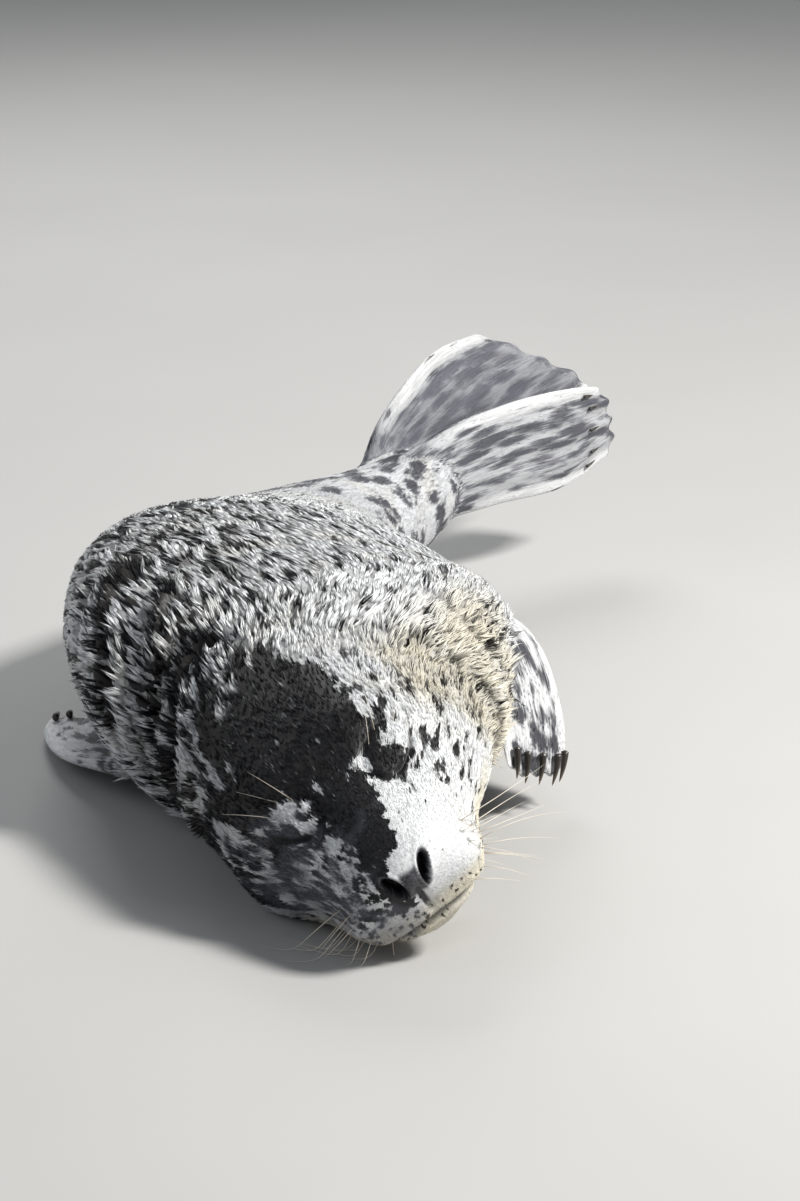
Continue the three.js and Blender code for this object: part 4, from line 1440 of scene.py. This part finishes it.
# ---------------------------------------------------------------- claws
@dataclass
class Claws:
    """The claws of one flipper, each a curved cone along its digit."""

    blade: Blade
    start: float = 0.86  # share of the flipper's length where they begin
    share: float = 0.12  # a claw's base radius as a share of its length
    gap: float = 0.25
    rings: int = 14
    columns: int = 16

    def build(self) -> Object:
        """Makes the five claws as one piece.

        A claw's radius falls from its base as (1 - share) to the power 0.62. Its middle line rises
        by 1.2 times the base times share (1 - share) and dips by a quarter of the base times the
        share cubed, to a blunt point.
        """
        points, faces = [], []
        base = self.share * self.blade.claws
        share = np.linspace(0, 1, self.rings)
        turn = 2 * math.pi * np.arange(self.columns) / self.columns
        for digit in range(self.blade.digits):
            across = np.array(min(max(digit / (self.blade.digits - 1), 0.1), 0.9))
            root = self.blade.point(np.array(self.start), across, np.array(float(self.blade.outer)))
            tip = self.blade.point(np.array(1.0), across, np.array(0.0))
            lift = self.blade.frame(np.array(self.start))[3] * self.blade.outer
            run = unit(tip - root)
            lift = unit(lift - run * dot(lift, run))
            wide = np.cross(run, lift)
            root = root + lift * (base * 1.15 + self.gap)
            radius = base * np.clip(1 - share, 0.004, 1) ** 0.62
            arch = base * (1.2 * share * (1 - share) - 0.25 * share**3)
            line = root + run * (share * self.blade.claws)[:, None] + lift * arch[:, None]
            ring = wide * np.cos(turn)[:, None] + lift * (1.15 * np.sin(turn))[:, None]
            place = line[:, None] + ring * radius[:, None, None]
            first = len(np.concatenate(points)) if points else 0
            ends = line[:1] - run * 0.6 * base, line[-1:] + run * 0.3
            closed = np.concatenate([place.reshape(-1, 3), *ends])
            mine = turned_out(closed, closed_tube(self.rings, self.columns))
            faces += [f + first for f in mine]
            points.append(closed)
        piece = mesh_object(f"claws_{self.blade.name}", np.concatenate(points), faces)
        along = np.concatenate([np.repeat(share, self.columns), [0, 1]])
        give(piece.data, "along", np.tile(along, self.blade.digits))
        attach(piece, "root")
        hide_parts(*(f"claw_{self.blade.name}_{k + 1}" for k in range(self.blade.digits)))
        return piece


# ---------------------------------------------------------------- materials
Colour = tuple[float, float, float, float]


class Graph:
    """A short way of writing node graphs: each call adds a node and returns one of its outputs."""

    def __init__(self, tree: NodeTree) -> None:
        self.tree = tree

    def feed(self, node: Node, **inputs: object) -> None:
        """Sets or links a node's inputs: by name, with _ for a space, or by number after a _."""
        for name, value in inputs.items():
            socket = node.inputs[int(name[1:]) if name[0] == "_" else name.replace("_", " ")]
            if isinstance(value, NodeSocket):
                self.tree.links.new(value, socket)
            else:
                socket.default_value = value

    def node(self, kind: str, settings: dict[str, object] | None = None, **inputs: object) -> Node:
        """Adds a node, with its settings, and sets or links its inputs."""
        made = self.tree.nodes.new(kind)
        for name, value in (settings or {}).items():
            setattr(made, name, value)
        self.feed(made, **inputs)
        return made

    def attribute(self, name: str) -> Node:
        """An attribute of the mesh."""
        return self.node("ShaderNodeAttribute", {"attribute_name": name})

    def value(self, name: str) -> NodeSocket:
        """A number stored on the mesh."""
        return self.attribute(name).outputs["Fac"]

    def math(self, operation: str, a: object, b: object, c: object = 0.0) -> NodeSocket:
        """A sum, product or other arithmetic."""
        return self.node("ShaderNodeMath", {"operation": operation}, _0=a, _1=b, _2=c).outputs[0]

    def vector(self, operation: str, *inputs: object, **named: object) -> NodeSocket:
        """A vector sum, product or scaling."""
        named |= {f"_{k}": value for k, value in enumerate(inputs)}
        return self.node("ShaderNodeVectorMath", {"operation": operation}, **named).outputs[0]

    def times(self, a: object, b: object) -> NodeSocket:
        """One number times another."""
        return self.math("MULTIPLY", a, b)

    def minus(self, a: object, b: object) -> NodeSocket:
        """One number less another."""
        return self.math("SUBTRACT", a, b)

    def scale_add(self, a: object, b: object, c: object) -> NodeSocket:
        """The first times the second, plus the third."""
        return self.math("MULTIPLY_ADD", a, b, c)

    def rise(self, value: object, low: object, high: object) -> NodeSocket:
        """A smooth rise from 0 at low to 1 at high."""
        settings = {"interpolation_type": "SMOOTHSTEP"}
        inputs = {"From_Min": low, "From_Max": high}
        return self.node("ShaderNodeMapRange", settings, Value=value, **inputs).outputs["Result"]

    def noise(
        self, vector: object, scale: float, detail: float = 2, rough: float = 0.5, twist: float = 0
    ) -> NodeSocket:
        """Smooth noise from 0 to 1."""
        inputs = {"Vector": vector, "Scale": scale, "Detail": detail}
        made = self.node("ShaderNodeTexNoise", None, Roughness=rough, Distortion=twist, **inputs)
        return made.outputs["Fac"]

    def noise_colour(self, vector: object, scale: float) -> NodeSocket:
        """Smooth noise with three separate channels."""
        return self.node("ShaderNodeTexNoise", None, Vector=vector, Scale=scale).outputs["Color"]

    def mix_value(self, share: object, a: object, b: object) -> NodeSocket:
        """The first number at a share of 0 and the second at 1."""
        return self.node("ShaderNodeMix", {"data_type": "FLOAT"}, _0=share, _2=a, _3=b).outputs[0]

    def mix(self, share: object, a: object, b: object) -> NodeSocket:
        """The first colour at a share of 0 and the second at 1."""
        return self.node("ShaderNodeMix", {"data_type": "RGBA"}, _0=share, _6=a, _7=b).outputs[2]

    def bump(self, height: object, strength: float, distance: float) -> NodeSocket:
        """A bumped normal; the distance is in metres."""
        inputs = {"Height": height, "Strength": strength, "Distance": distance}
        return self.node("ShaderNodeBump", None, **inputs).outputs["Normal"]

    def cells(self, vector: object, scale: float, feature: str) -> NodeSocket:
        """The distance from the middle of the cell."""
        made = self.node("ShaderNodeTexVoronoi", {"feature": feature}, Vector=vector, Scale=scale)
        return made.outputs["Distance"]

    def place(self) -> NodeSocket:
        """The place on the object, in metres."""
        return self.node("ShaderNodeTexCoord").outputs["Object"]


@dataclass(frozen=True)
class CoatFinish:
    """The coat's colours and how its dark markings break up."""

    silver: Colour = (0.77, 0.785, 0.80, 1)
    cream: Colour = (0.72, 0.67, 0.54, 1)
    black: Colour = (0.0065, 0.007, 0.009, 1)
    umber: Colour = (0.022, 0.018, 0.014, 1)
    violet: Colour = (0.165, 0.170, 0.205, 1)
    greyer: Colour = (0.045, 0.046, 0.052, 1)
    paler: Colour = (0.30, 0.30, 0.315, 1)
    level: float = 0.51  # the sum of tone and noise that is half dark
    fine_scale: float = 165
    wide_scale: float = 76
    spot_range: float = 1.15
    cell_range: float = 0.85
    strand_range: float = 0.12

    def group(self) -> NodeTree:
        """The node group of the markings, shared by the skin and the coat.

        Noise over the pattern's own coordinates is added to the stored tone; a steep rise makes
        spots of it, and a gentler one where the coat is an even grey. Some dark hairs are greyer
        and a few are pale. Its input is the strand's own random number, its outputs the colour
        and how dark it is.
        """
        tree = bpy.data.node_groups.new("coat_markings", "ShaderNodeTree")
        face = tree.interface
        face.new_socket(name="Grain", in_out="INPUT", socket_type="NodeSocketFloat")
        face.new_socket(name="Color", in_out="OUTPUT", socket_type="NodeSocketColor")
        face.new_socket(name="Dark", in_out="OUTPUT", socket_type="NodeSocketFloat")
        g = Graph(tree)
        grain = g.node("NodeGroupInput").outputs["Grain"]
        lie = g.attribute("lie").outputs["Vector"]
        fine, wide = (self.spots(g, lie, scale) for scale in (self.fine_scale, self.wide_scale))
        spots = g.mix_value(g.value("fine"), wide, fine)
        broad = g.noise(lie, 26, 1, 0.5)
        hairs = g.noise(g.vector("MULTIPLY", lie, (640, 110, 640)), 1, 1, 0.5)
        size = g.scale_add(g.value("cover"), 0.20, 0.85)
        shift = g.scale_add(spots, size, g.value("tone"))
        shift = g.scale_add(g.minus(broad, 0.5), 0.40, shift)
        shift = g.scale_add(g.minus(hairs, 0.5), 0.42, shift)
        shift = g.scale_add(g.minus(grain, 0.5), self.strand_range, shift)
        half = g.scale_add(g.value("grey"), 0.20, 0.09)
        dark = g.rise(shift, g.minus(self.level, half), g.math("ADD", self.level, half))
        pale = g.mix(g.value("cream"), self.silver, self.cream)
        ink = g.mix(g.value("cream"), self.black, self.umber)
        ink = g.mix(g.times(g.rise(grain, 0.62, 0.90), 0.42), ink, self.greyer)
        ink = g.mix(g.times(g.rise(grain, 0.84, 0.95), 0.5), ink, self.paler)
        inked = g.minus(1.0, g.math("POWER", g.minus(1.0, dark), 1.7))
        colour = g.mix(inked, pale, ink)
        # The grey, partly painted shade on the right cheek and hips, turns the colour violet-grey.
        colour = g.mix(g.times(g.value("grey"), 0.85), colour, self.violet)
        g.node("NodeGroupOutput", None, Color=colour, Dark=dark)
        return tree

    def spots(self, g: Graph, lie: NodeSocket, scale: float) -> NodeSocket:
        """Rounded cells broken up by noise: positive inside a spot and negative between spots."""
        bent = g.vector("MULTIPLY_ADD", g.noise_colour(lie, scale * 1.6), (0.5 / scale,) * 3, lie)
        cells = g.cells(bent, scale, "F1")
        cells = g.times(g.minus(0.47, cells), self.cell_range)
        noise = g.minus(g.noise(lie, scale * 0.9, 3, 0.6), 0.5)
        return g.scale_add(noise, self.spot_range, cells)


@dataclass
class Finishes:
    """All the materials."""

    coat: CoatFinish = field(default_factory=CoatFinish)
    markings: NodeTree | None = None

    def start(self, name: str) -> tuple[Material, Graph, Node]:
        """A new material with its graph and its shader."""
        made = bpy.data.materials.new(name)
        made.use_nodes = True
        shader = next(n for n in made.node_tree.nodes if n.type == "BSDF_PRINCIPLED")
        return made, Graph(made.node_tree), shader

    def markings_node(self, graph: Graph, grain: object) -> Node:
        """The shared markings, given a random number."""
        self.markings = self.markings or self.coat.group()
        return graph.node("ShaderNodeGroup", {"node_tree": self.markings}, Grain=grain)

    def skin(self) -> Material:
        """Short wet hair as fine stretched bump over the markings, with painted shade in streaks,
        under the coat, along the lid lines and mouth groove and inside the nostrils, and bare
        leather at the nose.
        """
        made, g, shader = self.start("seal_skin")
        lie = g.attribute("lie").outputs["Vector"]
        fine = g.noise(g.vector("MULTIPLY", lie, (1500, 420, 1500)), 1, 2, 0.6)
        coarse = g.noise(g.vector("MULTIPLY", lie, (420, 130, 420)), 1, 2, 0.6, 0.4)
        mark = self.markings_node(g, fine)
        # Painted shade in streaks between the hair clumps, stronger under thick coat.
        streak_shade = g.times(g.rise(coarse, 0.60, 0.34), g.scale_add(g.value("cover"), 0.3, 0.25))
        colour = g.mix(streak_shade, mark.outputs["Color"], (0.04, 0.036, 0.034, 1))
        # Painted shade under thick coat and along the lid lines and the mouth groove; the whisker
        # follicles are dark dots.
        for name, share, shade in (
            ("cover", 0.55, (0.035, 0.032, 0.03, 1)),
            ("dots", 0.85, (0.02, 0.018, 0.018, 1)),
            ("line", 0.92, (0.012, 0.011, 0.011, 1)),
        ):
            colour = g.mix(g.times(g.value(name), share), colour, shade)
        bare = g.value("bare")
        place = g.place()
        pebble = g.cells(place, 1100.0, "SMOOTH_F1")
        leather = g.mix(g.rise(pebble, 0.1, 0.7), (0.030, 0.030, 0.033, 1), (0.085, 0.085, 0.095, 1))
        colour = g.mix(bare, colour, leather)
        # Painted shade: near black inside the nostrils.
        colour = g.mix(g.value("hole"), colour, (0.004, 0.004, 0.004, 1))
        hair = g.scale_add(coarse, 0.6, g.times(fine, 0.5))
        height = g.times(g.minus(1.0, bare), hair)
        height = g.scale_add(g.times(pebble, bare), -0.5, height)
        normal = g.bump(height, 0.55, 0.0009)
        rough = g.scale_add(bare, -0.12, g.scale_add(coarse, 0.25, 0.36))
        g.feed(shader, Base_Color=colour, Roughness=rough, Normal=normal, Specular_IOR_Level=0.24)
        return made

    def strands(self) -> Material:
        """The strands: the markings, with painted shade at the root, deeper where the coat is thick, and
        paler at the tip.
        """
        made, g, shader = self.start("seal_coat")
        grain = g.value("grain")
        mark = self.markings_node(g, grain)
        tip = g.value("tip")
        # Painted shade at the roots, between the strands, stronger where the coat covers more.
        root = g.scale_add(g.value("cover"), 0.62, 0.12)
        deep = g.times(g.minus(1.0, g.rise(tip, 0.0, 0.55)), root)
        shade = g.minus(g.scale_add(grain, 0.14, 0.92), deep)
        colour = g.vector("SCALE", mark.outputs["Color"], Scale=shade)
        rough = g.scale_add(mark.outputs["Dark"], 0.12, 0.38)
        g.feed(shader, Base_Color=colour, Roughness=rough, Specular_IOR_Level=0.16)
        return made

    def horn(self) -> Material:
        """Dark claw horn, paler at the tip, with lengthwise lines."""
        made, g, shader = self.start("claw_horn")
        place = g.place()
        lines = g.noise(place, 900, 3, 0.6)
        base = g.mix(g.rise(g.value("along"), 0.45, 1.0), (0.022, 0.018, 0.015, 1), (0.16, 0.12, 0.085, 1))
        colour = g.mix(g.times(lines, 0.5), base, (0.06, 0.05, 0.042, 1))
        rough = g.scale_add(lines, 0.25, 0.22)
        normal = g.bump(lines, 0.4, 0.0004)
        g.feed(shader, Base_Color=colour, Roughness=rough, Normal=normal, Coat_Weight=0.2)
        return made

    def whisker(self) -> Material:
        """Pale whisker horn, greyer at the root."""
        made, g, shader = self.start("whisker_horn")
        place = g.place()
        bands = g.noise(place, 260, 2, 0.5)
        colour = g.mix(g.rise(g.value("along"), 0.0, 0.35), (0.30, 0.25, 0.20, 1), (0.74, 0.69, 0.60, 1))
        colour = g.mix(g.times(bands, 0.35), colour, (0.45, 0.38, 0.30, 1))
        rough = g.scale_add(bands, 0.2, 0.25)
        g.feed(shader, Base_Color=colour, Roughness=rough, Normal=g.bump(bands, 0.2, 0.0002))
        return made

    def floor(self) -> Material:
        """A plain pale floor."""
        made, g, shader = self.start("floor")
        place = g.place()
        mottle = g.noise(place, 3, 3, 0.5)
        colour = g.mix(mottle, (0.40, 0.397, 0.39, 1), (0.44, 0.437, 0.43, 1))
        g.feed(shader, Base_Color=colour, Roughness=0.75)
        return made


# ---------------------------------------------------------------- camera and light
@dataclass
class Studio:
    """The camera, the floor and the light."""

    place: Place = (0.07207, -2.2364, 0.7707)
    tilt: float = 72.9
    lens: float = 121.7
    target: Place = (0.04, 0, 0.06)  # where the lamps are aimed
    sky: Colour = (0.80, 0.84, 0.90, 1)
    sky_strength: float = 0.30
    floor_half: float = 8000  # half the floor's width, in mm
    # name, place, size, watts, colour: the key from the right, a fill, a rim from behind
    lamps: tuple[tuple[str, Place, float, float, Place], ...] = (
        ("key", (1.55, -0.45, 1.75), 0.42, 88, (1.0, 0.98, 0.94)),
        ("fill", (-1.7, -0.4, 1.3), 1.4, 5, (0.90, 0.95, 1.0)),
        ("rim", (-0.3, 1.9, 1.5), 1.0, 22, (1.0, 0.99, 0.97)),
    )

    def camera(self) -> None:
        """Puts the camera where the whole animal is seen from in front and above."""
        data = bpy.data.cameras.new("camera")
        data.lens = self.lens
        data.sensor_width = 36
        data.clip_start = 0.05
        made = bpy.data.objects.new("camera", data)
        made.location = self.place
        made.rotation_euler = (math.radians(self.tilt), 0, 0)
        bpy.context.scene.collection.objects.link(made)
        bpy.context.scene.camera = made

    def lights(self) -> None:
        """Adds area lamps aimed at the animal and a pale sky."""
        for name, place, size, watts, colour in self.lamps:
            data = bpy.data.lights.new(name, "AREA")
            data.size, data.energy, data.color = size, watts, colour
            lamp = bpy.data.objects.new(name, data)
            lamp.location = place
            aim = Vector(self.target) - Vector(place)
            lamp.rotation_euler = aim.to_track_quat("-Z", "Y").to_euler()
            bpy.context.scene.collection.objects.link(lamp)
        world = bpy.data.worlds.new("sky")
        world.use_nodes = True
        background = next(n for n in world.node_tree.nodes if n.type == "BACKGROUND")
        background.inputs["Color"].default_value = self.sky
        background.inputs["Strength"].default_value = self.sky_strength
        bpy.context.scene.world = world
        bpy.context.scene.view_settings.view_transform = "Standard"

    def floor(self, material: Material) -> None:
        """A wide plane at the height of the animal's underside."""
        half = self.floor_half
        corners = np.array([[-half, -half, 0], [half, -half, 0], [half, half, 0], [-half, half, 0]])
        plane = mesh_object("floor", corners, [np.array([[0, 1, 2, 3]])])
        plane.data.materials.append(material)


# ---------------------------------------------------------------- the whole
def report(piece: Object) -> None:
    """Logs a piece's name and how many triangles it has."""
    piece.data.calc_loop_triangles()
    log.info("%s: %d triangles", piece.name, len(piece.data.loop_triangles))


def main() -> None:
    """Builds the scene: camera and light, skin, coat, whiskers and claws."""
    style = "%(name)s %(relativeCreated)d ms: %(message)s"
    logging.basicConfig(level=logging.INFO, format=style, stream=sys.stdout)
    finishes, studio, form = Finishes(), Studio(), BodyForm()
    studio.camera()
    studio.lights()
    studio.floor(finishes.floor())
    skin, fields = Skin(form, Relief(), MarkingsAndShade(), Lie()).build()
    skin.data.materials.append(finishes.skin())
    report(skin)
    material = finishes.strands()
    for piece in Coat().build(skin, fields):
        piece.data.materials.append(material)
        report(piece)
    whiskers = Whiskers().build(form)
    whiskers.data.materials.append(finishes.whisker())
    report(whiskers)
    horn = finishes.horn()
    for blade in BLADES:
        claws = Claws(blade).build()
        claws.data.materials.append(horn)
        report(claws)


if __name__ == "__main__":
    main()
